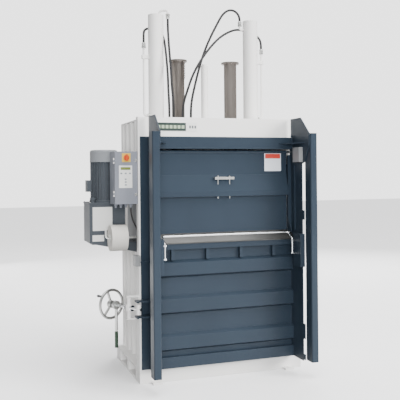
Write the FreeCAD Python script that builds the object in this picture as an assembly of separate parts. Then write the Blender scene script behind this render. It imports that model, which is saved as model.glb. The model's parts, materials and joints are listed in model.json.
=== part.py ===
import FreeCAD, Part
import math
import os

# Vertical recycling baler, millimetres. +Z is up and the loading side faces -Y.
# The origin is on the floor at the centre of the base, midway between the four floor anchors.

V = FreeCAD.Vector
X_DIR, Y_DIR, Z_DIR = V(1, 0, 0), V(0, 1, 0), V(0, 0, 1)

# ---------------------------------------------------------------- driving dimensions
BASE_WIDTH, BASE_DEPTH, BASE_HEIGHT = 1394.0, 842.0, 110.0
FRAME_HEIGHT = 2087.0            # floor to the top of the head frame
OVERALL_HEIGHT = 2985.0          # floor to the top of the cylinders
CHAMBER_HALF = 600.0             # half the clear width of the bale chamber
PLATE = 8.0                      # wall, door and flap plate
FIT = 0.05                       # radial running clearance of shafts and pins
GAP = 0.3                        # clearance between pieces that only pass each other

COLUMN_DEPTH = 60.0              # front and rear columns, along Y
HEAD_BEAM_HEIGHT = 156.0         # front, rear and side beams of the head frame
FRONT_BEAM_DEPTH = 100.0
BEAM_WALL = 8.0

FORK_POCKET_LENGTH = 250.0       # each fork tunnel, along Y
FORK_POCKET_WEB = 60.0           # web between the two tunnels
BASE_PLATE = 12.0                # top and bottom plates of the base

ANCHOR_X = 567.0                 # floor anchors, each side of the centre
ANCHOR_OUT = 32.0                # anchor hole beyond the base's front and rear faces
ANCHOR_HOLE_R = 9.0
FOOT_WIDTH, FOOT_LENGTH, FOOT_THICKNESS = 78.0, 62.0, 15.0

STRAP_PITCH = 290.0              # four strapping lines across the bale
STRAP_SLOT = 24.0
FLOOR_THICKNESS = 20.0
STRAP_GROOVE_DEPTH = 12.0

RIB_WIDTH, RIB_DEPTH, RIB_COUNT = 44.0, 34.0, 4
TOP_STRIP = 10.0                 # plate that closes the ribs at the top of each side

CYLINDER_X, CYLINDER_DEPTH = 434.0, 403.0      # cylinder axes: each side, and behind the front face
BARREL_R, BARREL_WALL = 65.0, 10.0
BARREL_BOTTOM = 1935.0
CAP_THICKNESS = 25.0
GLAND_LENGTH = 90.0
ROD_R = 30.0
PISTON_HEIGHT = 50.0
PISTON_REST_TOP = 2700.0

GUIDE_X = 240.0                  # bare steel guide tubes
GUIDE_R, GUIDE_WALL = 55.0, 6.0
GUIDE_RISE = 523.0               # top of the guide tubes, above the frame
GUIDE_FLANGE_R, GUIDE_FLANGE = 78.0, 15.0
BUSH_R, BUSH_RISE = 72.0, 22.0

SENSOR_R, SENSOR_RISE = 30.0, 486.0

PLATEN_BOTTOM, PLATEN_HEIGHT = 1590.0, 120.0
PLATEN_SIDE_GAP = 8.0

PIPE_X, PIPE_R, PIPE_TOP, PIPE_RISE = 540.0, 9.0, 2700.0, 43.0
HOSE_R = 10.0
FERRULE_R, FERRULE_LENGTH = 14.0, 42.0
DECK_DROP, DECK_THICKNESS = 90.0, 12.0         # top of the recessed deck, below the frame's top
MANIFOLD_HEIGHT = 53.0
SIGN_DROP, SIGN_HEIGHT, SIGN_THICKNESS = 40.0, 72.0, 2.5

# door: everything in front of the frame swings on pins at its right-hand edge
DOOR_GAP = 6.0                   # back of the door to the front of the frame
SIDE_INNER = 609.0               # inner faces of the door's two side plates
SIDE_PLATE_DEPTH = 219.0
FLANGE_LEFT, FLANGE_RIGHT = 684.0, 650.0       # edges of the flanges, from the centre
POST_WIDTH, POST_DEPTH, POST_WALL, POST_CORNER = 60.0, 106.0, 5.0, 12.0
POST_FRONT = 359.0               # post face, forward of the frame
POST_TOP, POST_BOTTOM = 1952.0, 131.0
DOOR_BOTTOM = 114.0
SKIN_TOP = 1130.0
BAND_OUT, BAND_SLOPE, BAND_WALL = 38.0, 20.0, 6.0
BAND_HEIGHTS = ((243.0, 381.0), (532.0, 676.0), (820.0, 958.0))
TOP_RAIL = (1045.0, 1088.0)
LIP_TOP = 1150.0
CROSSBEAM = (1835.0, 1931.0)
CROSSBEAM_FRONT = 60.0
GUSSET_Z = 1876.0                # underside of the corner gussets
DOOR_PIN_X, DOOR_PIN_OUT, DOOR_PIN_R, KNUCKLE_R = 672.0, 35.0, 8.0, 15.0
HINGE_HEIGHTS = (330.0, 1130.0, 1760.0)
KNUCKLE = 60.0                   # height of one hinge knuckle

FLAP_HALF, FLAP_BOTTOM = 570.0, 1166.0
CHEEK_INNER = 580.0              # inner faces of the cheeks beside the flap
FLAP_OUT = 20.0                  # front face of the flap, forward of the frame
FLAP_PIN_Z, FLAP_PIN_R = 1812.0, 8.0
STIFFENER = (1451.0, 1627.0)     # projecting stiffener across the flap
STIFFENER_OUT = 40.0
HANDLE_LENGTH, HANDLE_DEPTH, HANDLE_Z = 166.0, 34.0, 1604.0
HANDLE_BOLT_X, HANDLE_BOLT_R = 50.0, 5.0

BAR_R, BAR_OUT, BAR_HALF = 7.0, 182.0, 538.0   # safety bar
BAR_PIVOT_Z, BAR_STUB_Z, BAR_TOP = 985.0, 1088.0, 1153.0
BAR_TOP_OUT = 108.0              # its long run, forward of the frame
BAR_BRACKET = 40.0               # thickness of the bar's side brackets

# left-hand equipment
CABINET = (-878.0, -697.5, 1405.0, 1816.0)      # left, right, bottom, top
CABINET_FRONT, CABINET_DEPTH, CABINET_DOOR = 30.0, 170.0, 18.0
CABINET_HINGES = (1465.0, 1720.0)
CABINET_KNUCKLE, CABINET_BARREL_R, CABINET_PIN_R = 14.0, 5.0, 2.5
SHEET = 2.0
TANK = (-1030.0, -740.0, 1085.0, 1400.0)
TANK_Y, TANK_DEPTH = 280.0, 280.0
MOTOR_X, MOTOR_DEPTH, MOTOR_R = -885.0, 420.0, 112.0
MOTOR_BASE, MOTOR_TOP, COWL_TOP = 1412.0, 1758.0, 1840.0
ROLL_LEFT, ROLL_RIGHT, ROLL_DEPTH, ROLL_Z = -900.0, -772.0, 120.0, 1138.0
ROLL_R, ROLL_BORE_R = 103.0, 38.0

LOCK_Z = 600.0                   # door lock
LOCK_PIVOT_X, LOCK_PIVOT_DEPTH = -773.0, 29.0
LOCK_ANGLE = 26.5                # spindle, turned from the Y axis
WHEEL_BACK, WHEEL_R, WHEEL_RIM_R = 219.0, 112.0, 11.0
CRANK_ANGLE = 142.0              # crank pin, round the rim from the machine side
NUT_AHEAD, NUT_R, NUT_HEIGHT = 116.0, 18.0, 80.0
SPINDLE_R = 11.0
FORK_PLATES = (535.0, 655.0)
LEVER_BACK, LEVER_LENGTH = 158.0, 332.0
RATCHET_R, GRIP_LENGTH = 34.0, 128.0

FRONT = -BASE_DEPTH / 2          # y of the frame's front face
BACK = BASE_DEPTH / 2
COLUMN_OUT = BASE_WIDTH / 2
RIB_OUT = CHAMBER_HALF + PLATE + RIB_DEPTH      # outer face of the ribs and the rear columns
HEAD_BOTTOM = FRAME_HEIGHT - HEAD_BEAM_HEIGHT
DECK_TOP = FRAME_HEIGHT - DECK_DROP
MANIFOLD_TOP = DECK_TOP + MANIFOLD_HEIGHT
GUIDE_TOP = FRAME_HEIGHT + GUIDE_RISE
SENSOR_TOP = FRAME_HEIGHT + SENSOR_RISE
PIPE_FOOT = FRAME_HEIGHT + PIPE_RISE
SIDES = (-1, 1)


# ---------------------------------------------------------------- helpers
def box(x0, x1, y0, y1, z0, z1):
    """A block between two corners, given in any order along each axis."""
    low = V(min(x0, x1), min(y0, y1), min(z0, z1))
    high = V(max(x0, x1), max(y0, y1), max(z0, z1))
    size = high - low
    return Part.makeBox(size.x, size.y, size.z, low)


def rod(radius, start, end):
    """A round bar between two points."""
    return Part.makeCylinder(radius, (end - start).Length, start, end - start)


def pipe(outer, inner, start, end):
    """A round tube between two points."""
    return rod(outer, start, end).cut(rod(inner, start, end))


def hollow(x0, x1, y0, y1, z0, z1, wall):
    """A closed box section: a block less the space inside its walls."""
    return box(x0, x1, y0, y1, z0, z1).cut(
        box(x0 + wall, x1 - wall, y0 + wall, y1 - wall, z0 + wall, z1 - wall))


def prism(points, travel):
    """The closed outline through points, carried along the vector travel."""
    return Part.Face(Part.makePolygon(points + [points[0]])).extrude(travel)


def side_profile(outline, x0, x1):
    """An outline of (forward distance, height) pairs, extruded across X."""
    return prism([V(x0, FRONT - out, z) for out, z in outline], V(x1 - x0, 0, 0))


def mirrored(shape):
    """The shape's copy on the other side of the machine's centre plane."""
    return shape.mirror(V(0, 0, 0), X_DIR)


def pair(shape):
    """A shape and its mirror copy."""
    return [shape, mirrored(shape)]


def rounded_post(x0, x1, y0, y1, z0, z1, radius):
    """A vertical block with round corners."""
    block = box(x0, x1, y0, y1, z0, z1)
    upright = [edge for edge in block.Edges if abs(edge.tangentAt(edge.FirstParameter).z) > 0.9]
    return block.makeFillet(radius, upright)


def run_and_arc(points, radius):
    """Straight runs through the points, joined by tangent arcs.

    With radius None, each arc is as large as its two runs allow: 0.45 of the
    shorter run, divided by the tangent of half the turn.
    """
    edges, radii = [], []
    here = points[0]
    for before, corner, after in zip(points, points[1:], points[2:]):
        into, out = corner - before, after - corner
        half_turn = into.getAngle(out) / 2
        cut = 0.45 * min(into.Length, out.Length)
        if radius is not None:
            cut = radius * math.tan(half_turn)
        into.normalize()
        out.normalize()
        start, end = corner - into * cut, corner + out * cut
        arc_radius = cut / math.tan(half_turn)
        to_centre = out - into
        to_centre.normalize()
        middle = corner + to_centre * (arc_radius / math.cos(half_turn) - arc_radius)
        edges.append(Part.LineSegment(here, start).toShape())
        edges.append(Part.Arc(start, middle, end).toShape())
        radii.append(arc_radius)
        here = end
    edges.append(Part.LineSegment(here, points[-1]).toShape())
    return Part.Wire(edges), radii


def bent_rod(points, radius, bend=None):
    """A round bar or hose along a route of straight runs and tangent arcs."""
    wire, radii = run_and_arc(points, bend)
    start = wire.Edges[0]
    ring = Part.Wire(Part.makeCircle(radius, points[0], start.tangentAt(start.FirstParameter)))
    return wire.makePipeShell([ring], True, False), wire.Length, radii


def export(name, shapes):
    """Write one node: one solid, or several in one compound."""
    shape = shapes[0] if len(shapes) == 1 else Part.makeCompound(shapes)
    for solid in shape.Solids:
        if not solid.isValid():
            raise ValueError(name + " has a solid that is not valid")
    shape.exportStep(os.path.join("parts", name + ".step"))


# ---------------------------------------------------------------- base and frame
def base_frame():
    """Welded box base: two fork tunnels run through it from side to side.

    The spaces in front of, between and behind the tunnels are closed cavities.
    """
    body = box(-COLUMN_OUT, COLUMN_OUT, FRONT, BACK, 0, BASE_HEIGHT)
    low, high = BASE_PLATE, BASE_HEIGHT - BASE_PLATE
    inner = COLUMN_OUT - BASE_PLATE
    near = FORK_POCKET_WEB / 2
    far = near + FORK_POCKET_LENGTH
    for side in SIDES:
        body = body.cut(box(-COLUMN_OUT - 1, COLUMN_OUT + 1, side * near, side * far, low, high))
        body = body.cut(box(-inner, inner, side * (far + BASE_PLATE), side * (BACK - BASE_PLATE), low, high))
    body = body.cut(box(-inner, inner, BASE_PLATE - near, near - BASE_PLATE, low, high))
    for foot in anchor_feet():
        body = body.fuse(foot)
    return body.removeSplitter()


def anchor_feet():
    """Four drilled lugs on the floor, at the base's front and rear faces."""
    feet = []
    for face, away in ((FRONT, -1), (BACK, 1)):
        for side in SIDES:
            x = side * ANCHOR_X
            lug = box(x - FOOT_WIDTH / 2, x + FOOT_WIDTH / 2, face, face + away * FOOT_LENGTH, 0, FOOT_THICKNESS)
            hole = V(x, face + away * ANCHOR_OUT, -1)
            feet.append(lug.cut(rod(ANCHOR_HOLE_R, hole, hole + Z_DIR * (FOOT_THICKNESS + 2))))
    return feet


def strap_lines():
    """The x of each strapping line."""
    return [(i - 1.5) * STRAP_PITCH for i in range(4)]


def chamber_floor():
    """Thick floor plate with a groove under each strapping line."""
    floor = box(-CHAMBER_HALF, CHAMBER_HALF, FRONT, BACK - PLATE, BASE_HEIGHT, BASE_HEIGHT + FLOOR_THICKNESS)
    top = BASE_HEIGHT + FLOOR_THICKNESS
    for x in strap_lines():
        floor = floor.cut(box(x - STRAP_SLOT / 2, x + STRAP_SLOT / 2, FRONT - 1, BACK,
                              top - STRAP_GROOVE_DEPTH, top + 1))
    return floor


def columns(outer, y0, y1):
    """A pair of box-section columns from the base to the top of the frame."""
    post = hollow(CHAMBER_HALF, outer, y0, y1, BASE_HEIGHT, FRAME_HEIGHT, BEAM_WALL)
    return pair(post)


def column_gussets():
    """Triangular stiffeners outside the chamber walls, at the columns' feet."""
    y0 = FRONT + COLUMN_DEPTH
    web = prism([V(CHAMBER_HALF + PLATE, y0, BASE_HEIGHT), V(CHAMBER_HALF + PLATE, y0 + 60, BASE_HEIGHT),
                 V(CHAMBER_HALF + PLATE, y0, BASE_HEIGHT + 160)], V(COLUMN_OUT - CHAMBER_HALF - PLATE, 0, 0))
    return pair(web)


def side_walls():
    """Chamber side walls between the front and rear columns."""
    wall = box(CHAMBER_HALF, CHAMBER_HALF + PLATE, FRONT + COLUMN_DEPTH, BACK - COLUMN_DEPTH,
               BASE_HEIGHT, FRAME_HEIGHT)
    return pair(wall)


def rear_wall():
    """Rear wall, slotted along each strapping line."""
    floor_top = BASE_HEIGHT + FLOOR_THICKNESS
    wall = box(-CHAMBER_HALF, CHAMBER_HALF, BACK - PLATE, BACK, BASE_HEIGHT, HEAD_BOTTOM)
    for x in strap_lines():
        wall = wall.cut(box(x - STRAP_SLOT / 2, x + STRAP_SLOT / 2, BACK - PLATE - 1, BACK + 1,
                            floor_top + 40, PLATEN_BOTTOM - 100))
    return wall


def rib_y(i):
    """The middle of rib i, counted from the front."""
    clear = BASE_DEPTH - 2 * COLUMN_DEPTH
    return FRONT + COLUMN_DEPTH + clear * (i + 0.8) / (RIB_COUNT + 0.6)


def wall_ribs():
    """Upright channels that stiffen the outside of the side walls."""
    ribs = []
    inner = CHAMBER_HALF + PLATE
    for i in range(RIB_COUNT):
        y = rib_y(i)
        rib = box(inner, RIB_OUT, y - RIB_WIDTH / 2, y + RIB_WIDTH / 2, BASE_HEIGHT, FRAME_HEIGHT - TOP_STRIP)
        inside = box(inner - 1, RIB_OUT - 6, y - RIB_WIDTH / 2 + 6, y + RIB_WIDTH / 2 - 6,
                     BASE_HEIGHT - 1, FRAME_HEIGHT)
        ribs += pair(rib.cut(inside))
    return ribs


def head_beams():
    """Box-section beams across the top of the frame, and the strips that close the side ribs."""
    front = hollow(-CHAMBER_HALF, CHAMBER_HALF, FRONT, FRONT + FRONT_BEAM_DEPTH,
                   HEAD_BOTTOM, FRAME_HEIGHT, BEAM_WALL)
    rear = hollow(-CHAMBER_HALF, CHAMBER_HALF, BACK - FRONT_BEAM_DEPTH, BACK,
                  HEAD_BOTTOM, FRAME_HEIGHT, BEAM_WALL)
    strip = box(CHAMBER_HALF + PLATE, RIB_OUT, FRONT + COLUMN_DEPTH, BACK - COLUMN_DEPTH,
                FRAME_HEIGHT - TOP_STRIP, FRAME_HEIGHT)
    return [front, rear] + pair(strip)


def cylinder_beam():
    """The heavy beam that carries the cylinders, guide bushes and sensor tube."""
    middle = FRONT + CYLINDER_DEPTH
    beam = box(-CHAMBER_HALF, CHAMBER_HALF, middle - 110, middle + 110, HEAD_BOTTOM, FRAME_HEIGHT)
    inside = box(-CHAMBER_HALF + 20, CHAMBER_HALF - 20, middle - 95, middle + 95,
                 HEAD_BOTTOM + 20, FRAME_HEIGHT - 20)
    beam = beam.cut(inside)
    low, high = V(0, middle, HEAD_BOTTOM - 1), V(0, middle, FRAME_HEIGHT + 1)
    for side in SIDES:
        across = X_DIR * side * CYLINDER_X
        beam = beam.cut(rod(BARREL_R + GAP, low + across, high + across))
        across = X_DIR * side * GUIDE_X
        beam = beam.cut(rod(BUSH_R - 8 + GAP, low + across, high + across))
    return beam


def deck_plates():
    """Recessed plates that close the head frame in front of and behind the cylinder beam."""
    middle = FRONT + CYLINDER_DEPTH
    bottom = DECK_TOP - DECK_THICKNESS
    front = box(-CHAMBER_HALF, CHAMBER_HALF, FRONT + FRONT_BEAM_DEPTH, middle - 110, bottom, DECK_TOP)
    rear = box(-CHAMBER_HALF, CHAMBER_HALF, middle + 110, BACK - FRONT_BEAM_DEPTH, bottom, DECK_TOP)
    return [front, rear]


def sign_plates():
    """Blank name plate and number plate on the front beam."""
    top = FRAME_HEIGHT - SIGN_DROP
    plate = box(-556, -300, FRONT - SIGN_THICKNESS, FRONT, top - SIGN_HEIGHT, top)
    small = box(-296, -208, FRONT - SIGN_THICKNESS, FRONT, top - SIGN_HEIGHT, top)
    return [plate, small]


# ---------------------------------------------------------------- hydraulics
def axis_point(x, z):
    """A point on the cylinders' plane."""
    return V(x, FRONT + CYLINDER_DEPTH, z)


def cylinder_barrels():
    """Cylinder tubes with their closed caps and mounting collars."""
    barrel = rod(BARREL_R, axis_point(CYLINDER_X, BARREL_BOTTOM), axis_point(CYLINDER_X, OVERALL_HEIGHT))
    bore = rod(BARREL_R - BARREL_WALL, axis_point(CYLINDER_X, BARREL_BOTTOM - 1),
               axis_point(CYLINDER_X, OVERALL_HEIGHT - CAP_THICKNESS))
    collar = pipe(BARREL_R + 24, BARREL_R - 2, axis_point(CYLINDER_X, FRAME_HEIGHT),
                  axis_point(CYLINDER_X, FRAME_HEIGHT + 18))
    return pair(barrel.cut(bore).fuse(collar).removeSplitter())


def cylinder_glands():
    """Rod guides screwed into the lower ends of the barrels."""
    gland = pipe(BARREL_R - BARREL_WALL, ROD_R + FIT, axis_point(CYLINDER_X, BARREL_BOTTOM),
                 axis_point(CYLINDER_X, BARREL_BOTTOM + GLAND_LENGTH))
    return pair(gland)


def piston_rods():
    """Chromed rods with their pistons, standing on the platen."""
    platen_top = PLATEN_BOTTOM + PLATEN_HEIGHT
    piston_bottom = PISTON_REST_TOP - PISTON_HEIGHT
    shaft = rod(ROD_R, axis_point(CYLINDER_X, platen_top), axis_point(CYLINDER_X, piston_bottom))
    piston = rod(BARREL_R - BARREL_WALL - FIT, axis_point(CYLINDER_X, piston_bottom),
                 axis_point(CYLINDER_X, PISTON_REST_TOP))
    return pair(shaft.fuse(piston).removeSplitter())


def guide_bushes():
    """Flanged bushes that guide the bare steel tubes through the cylinder beam."""
    low, seat = axis_point(GUIDE_X, HEAD_BOTTOM), axis_point(GUIDE_X, FRAME_HEIGHT)
    top = axis_point(GUIDE_X, FRAME_HEIGHT + BUSH_RISE)
    sleeve = pipe(BUSH_R - 8, GUIDE_R + FIT, low, top)
    flange = pipe(BUSH_R + 16, BUSH_R - 9, seat, seat + Z_DIR * 10)
    return pair(sleeve.fuse(flange).removeSplitter())


def guide_tubes():
    """Guide tubes with a stop flange at the top, standing on the platen."""
    foot, top = axis_point(GUIDE_X, PLATEN_BOTTOM + PLATEN_HEIGHT), axis_point(GUIDE_X, GUIDE_TOP)
    tube = pipe(GUIDE_R, GUIDE_R - GUIDE_WALL, foot, top)
    flange = pipe(GUIDE_FLANGE_R, GUIDE_R - GUIDE_WALL, top - Z_DIR * GUIDE_FLANGE, top)
    return pair(tube.fuse(flange).removeSplitter())


def flange_chain():
    """Short chain that hangs from the left tube's stop flange, with its end hook."""
    links = []
    eye = axis_point(-GUIDE_X + 36, GUIDE_TOP - GUIDE_FLANGE)
    eye.y -= GUIDE_FLANGE_R - 14
    hanger = rod(3, eye, eye - Z_DIR * 12)
    half, wire = 10.0, 2.4
    pitch = 2 * (half - wire) - GAP
    for i in range(9):
        centre = eye - Z_DIR * (12 + GAP + half + wire + i * pitch)
        turn = X_DIR if i % 2 else Y_DIR
        link = Part.makeTorus(half, wire, centre, turn)
        links.append(link)
    return [hanger] + links


def sensor_tube():
    """White tube over the stroke sensor, standing on the cylinder beam."""
    body = rod(SENSOR_R, axis_point(0, FRAME_HEIGHT), axis_point(0, SENSOR_TOP))
    foot = rod(SENSOR_R + 18, axis_point(0, FRAME_HEIGHT), axis_point(0, FRAME_HEIGHT + 10))
    cap = rod(SENSOR_R - 8, axis_point(0, SENSOR_TOP), axis_point(0, SENSOR_TOP + 12))
    return body.fuse(foot).fuse(cap).removeSplitter()


def rod_end_pipes():
    """Steel pipes from the barrels' lower ports up to the hoses."""
    pipe_run, _, _ = bent_rod([axis_point(CYLINDER_X + BARREL_R, PIPE_FOOT), axis_point(PIPE_X, PIPE_FOOT),
                               axis_point(PIPE_X, PIPE_TOP)], PIPE_R, 22)
    return pair(pipe_run)


def pipe_clips():
    """Clamps that tie the pipes to the barrels."""
    z = 2610
    block = box(CYLINDER_X + BARREL_R - 4, PIPE_X + 16, FRONT + CYLINDER_DEPTH - 15,
                FRONT + CYLINDER_DEPTH + 15, z, z + 30)
    block = block.cut(rod(BARREL_R, axis_point(CYLINDER_X, z - 1), axis_point(CYLINDER_X, z + 31)))
    block = block.cut(rod(PIPE_R + FIT, axis_point(PIPE_X, z - 1), axis_point(PIPE_X, z + 31)))
    return pair(block)


def cap_elbows():
    """Steel elbows at the cap ends: a gooseneck on the left, a plain elbow on the right."""
    y = FRONT + CYLINDER_DEPTH
    goose, _, _ = bent_rod([V(-402, y, OVERALL_HEIGHT), V(-402, y, OVERALL_HEIGHT + 36),
                            V(-340, y - 44, OVERALL_HEIGHT + 36), V(-340, y - 44, OVERALL_HEIGHT + 5)],
                           PIPE_R, 22)
    left_face = CYLINDER_X - BARREL_R
    elbow, _, _ = bent_rod([V(left_face, y, 2905), V(left_face - 34, y, 2905), V(left_face - 34, y, 2935)],
                           PIPE_R, 20)
    return [goose, elbow]


# Hydraulic hoses: route points, each (x, distance behind the front face, z).
HOSES = {
    "hose_rod_left": ((-540, 403, 2742), (-540, 403, 2792), (-534, 424, 2839), (-510, 462, 2873),
                      (-462, 497, 2891), (-405, 502, 2885), (-366, 480, 2855), (-348, 450, 2801),
                      (-346, 418, 2716), (-352, 360, 2600), (-360, 300, 2460), (-372, 250, 2330),
                      (-376, 212, 2200), (-376, 212, 2092)),
    "hose_cap_left": ((-340, 359, 2948), (-340, 359, 2888), (-341, 340, 2780), (-343, 304, 2650),
                      (-342, 270, 2500), (-346, 238, 2360), (-338, 212, 2220), (-338, 212, 2092)),
    "hose_cap_right": ((335, 403, 2977), (335, 403, 3011), (317, 402, 3047), (284, 400, 3070),
                       (242, 397, 3074), (202, 393, 3057), (159, 388, 3016), (106, 378, 2926),
                       (32, 358, 2796), (-36, 328, 2656), (-94, 290, 2508), (-142, 250, 2370),
                       (-174, 224, 2270), (-190, 212, 2180), (-190, 212, 2092)),
    "hose_rod_right": ((540, 403, 2742), (540, 403, 2792), (534, 424, 2842), (510, 462, 2882),
                       (462, 497, 2909), (400, 504, 2928), (328, 484, 2924), (242, 440, 2888),
                       (138, 370, 2826), (34, 310, 2734), (-78, 256, 2604), (-168, 224, 2462),
                       (-222, 212, 2320), (-262, 212, 2196), (-262, 212, 2092)),
}


def hose(name):
    """One hose, with its bend radii and volume check printed."""
    points = [V(x, FRONT + back, z) for x, back, z in HOSES[name]]
    solid, length, radii = bent_rod(points, HOSE_R)
    section = math.pi * HOSE_R ** 2
    runs = [(b - a).Length for a, b in zip(points, points[1:])]
    print(name, "length %.0f" % length, "volume ratio %.4f" % (solid.Volume / (section * length)),
          "radii", [round(r) for r in radii], "runs", [round(r) for r in runs])
    return solid


def hose_ferrules():
    """Crimped ends: four on the steel pipes and four in the manifold."""
    sleeves = []
    for route in HOSES.values():
        for end, beyond in ((route[0], route[1]), (route[-1], route[-2])):
            end = V(end[0], FRONT + end[1], end[2])
            away = end - V(beyond[0], FRONT + beyond[1], beyond[2])
            away.normalize()
            sleeves.append(rod(FERRULE_R, end, end + away * FERRULE_LENGTH))
    return sleeves


def hose_manifold():
    """Valve block on the front deck plate, under the four hoses."""
    y = FRONT + 212
    return box(-405, -160, y - 38, y + 38, DECK_TOP, MANIFOLD_TOP)


# ---------------------------------------------------------------- press platen
def platen():
    """Press platen, boxed in below and grooved under each strapping line."""
    side = CHAMBER_HALF - PLATEN_SIDE_GAP
    y0, y1 = FRONT + 12, BACK - PLATE - 10
    top = PLATEN_BOTTOM + PLATEN_HEIGHT
    body = box(-side, side, y0, y1, PLATEN_BOTTOM, top)
    for x in strap_lines():
        body = body.cut(box(x - STRAP_SLOT / 2, x + STRAP_SLOT / 2, y0 - 1, y1 + 1,
                            PLATEN_BOTTOM - 1, PLATEN_BOTTOM + 40))
    middle = FRONT + CYLINDER_DEPTH
    for near, far in ((y0 + 20, middle - 90), (middle + 90, y1 - 20)):
        for side_x in SIDES:
            body = body.cut(box(side_x * 20, side_x * (side - 20), near, far, PLATEN_BOTTOM + 60, top + 1))
    return body


# ---------------------------------------------------------------- door
def door_skin():
    """Lower door plate."""
    return box(-SIDE_INNER, SIDE_INNER, FRONT - DOOR_GAP - PLATE, FRONT - DOOR_GAP, DOOR_BOTTOM, SKIN_TOP)


def door_bands():
    """Three folded channels across the lower door."""
    back = DOOR_GAP + PLATE
    front = back + BAND_OUT
    bands = []
    for low, high in BAND_HEIGHTS:
        outer = [(back, low), (front, low + BAND_SLOPE), (front, high - BAND_SLOPE), (back, high)]
        trim = BAND_WALL * 1.6
        inner = [(back - 1, low + trim), (front - BAND_WALL, low + BAND_SLOPE + BAND_WALL / 2),
                 (front - BAND_WALL, high - BAND_SLOPE - BAND_WALL / 2), (back - 1, high - trim)]
        band = side_profile(outer, -SIDE_INNER, SIDE_INNER)
        bands.append(band.cut(side_profile(inner, -SIDE_INNER + BAND_WALL, SIDE_INNER - BAND_WALL)))
    return bands


def door_rails():
    """Bottom rail and the rail under the lip, both box sections, with the strap guides between."""
    back = FRONT - DOOR_GAP - PLATE
    bottom = hollow(-SIDE_INNER, SIDE_INNER, back - 34, back, DOOR_BOTTOM, 200, 5)
    top = hollow(-SIDE_INNER, SIDE_INNER, back - 46, back, TOP_RAIL[0], TOP_RAIL[1], 5)
    return [bottom, top]


def strap_guides():
    """Short uprights between the top band and the rail, one at each strapping line."""
    back = FRONT - DOOR_GAP - PLATE
    return [box(x - STRAP_SLOT / 2, x + STRAP_SLOT / 2, back - 34, back, BAND_HEIGHTS[-1][1], TOP_RAIL[0])
            for x in strap_lines()]


def lip():
    """Folded stainless sill below the loading opening, with an upstand behind the flap."""
    back, out = DOOR_GAP, 68
    outline = [(back, SKIN_TOP), (back, LIP_TOP), (back + 6, LIP_TOP), (out, 1096), (out, TOP_RAIL[1]),
               (out - 3, TOP_RAIL[1]), (out - 3, 1094), (back + PLATE, 1143), (back + PLATE, SKIN_TOP)]
    sill = side_profile(outline, -SIDE_INNER, SIDE_INNER)
    reach = CHEEK_INNER - GAP
    upstand = box(-reach, reach, FRONT - back, FRONT - back - 4, LIP_TOP - 1, FLAP_BOTTOM + 10)
    return sill.fuse(upstand).removeSplitter()


def side_plate(flange_edge):
    """Right-hand side plate, widened at the top into a gusset over the post.

    Its rear edge is folded outwards to flange_edge, where it closes on the column.
    """
    outline = [(DOOR_GAP, DOOR_BOTTOM), (SIDE_PLATE_DEPTH, DOOR_BOTTOM), (SIDE_PLATE_DEPTH, 1710),
               (POST_FRONT - POST_DEPTH + 14, 1724), (POST_FRONT - 14, 1860), (POST_FRONT - 14, 1955),
               (200, FRAME_HEIGHT), (30, FRAME_HEIGHT), (30, POST_TOP - 20), (DOOR_GAP, POST_TOP - 20)]
    plate = side_profile(outline, SIDE_INNER, SIDE_INNER + PLATE)
    z = FLAP_PIN_Z
    pin = V(SIDE_INNER - 1, FRONT - FLAP_OUT + PLATE / 2, z)
    flange = box(SIDE_INNER, flange_edge, FRONT - DOOR_GAP - PLATE, FRONT - DOOR_GAP,
                 DOOR_BOTTOM, POST_TOP - 20)
    plate = plate.fuse(flange).removeSplitter()
    return plate.cut(rod(FLAP_PIN_R + FIT, pin, pin + X_DIR * (PLATE + 1)))


def side_plates():
    """Both side plates: the left one's flange is wider, the right one's clears the hinges."""
    return [mirrored(side_plate(FLANGE_LEFT)), side_plate(FLANGE_RIGHT)]


def door_posts():
    """Round-cornered hollow posts in front of the side plates."""
    x0, y0 = SIDE_INNER + PLATE, FRONT - POST_FRONT
    post = rounded_post(x0, x0 + POST_WIDTH, y0, y0 + POST_DEPTH, POST_BOTTOM, POST_TOP, POST_CORNER)
    bore = rounded_post(x0 + POST_WALL, x0 + POST_WIDTH - POST_WALL, y0 + POST_WALL, y0 + POST_DEPTH - POST_WALL,
                        POST_BOTTOM + POST_WALL, POST_TOP - POST_WALL, POST_CORNER - POST_WALL)
    return pair(post.cut(bore))


def bridge_plates():
    """Plates that tie each post to its side plate across the gap, below the gusset."""
    y0, y1 = FRONT - POST_FRONT + POST_DEPTH - 14, FRONT - SIDE_PLATE_DEPTH + 26
    plates = []
    for low, high in ((DOOR_BOTTOM + 17, 175), (300, 420), (1260, 1335)):
        plates += pair(box(SIDE_INNER - 8, SIDE_INNER, y0, y1, low, high))
    return plates


def crossbeam():
    """Upper door beam: a box section with a small lip along its lower front edge."""
    y0 = FRONT - CROSSBEAM_FRONT
    beam = hollow(-SIDE_INNER, SIDE_INNER, y0, FRONT - DOOR_GAP - 2, CROSSBEAM[0], CROSSBEAM[1], 6)
    ledge = box(-SIDE_INNER, SIDE_INNER, y0 - 12, y0 + 2, CROSSBEAM[0], CROSSBEAM[0] + 10)
    return beam.fuse(ledge).removeSplitter()


def corner_gussets():
    """Flat triangles between the crossbeam and the side plates."""
    y = FRONT - CROSSBEAM_FRONT
    wedge = prism([V(486, y, GUSSET_Z), V(SIDE_INNER, y, GUSSET_Z), V(SIDE_INNER, y - 205, GUSSET_Z)],
                  V(0, 0, PLATE))
    return pair(wedge)


def corner_bolts():
    """Upright bolts on the corner gussets, against the crossbeam."""
    foot = V(596, FRONT - CROSSBEAM_FRONT - 12, GUSSET_Z + PLATE)
    top = V(foot.x, foot.y, CROSSBEAM[1] + 8)
    return pair(rod(7, foot, top).fuse(rod(11, top, top + Z_DIR * 8)).removeSplitter())


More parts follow.
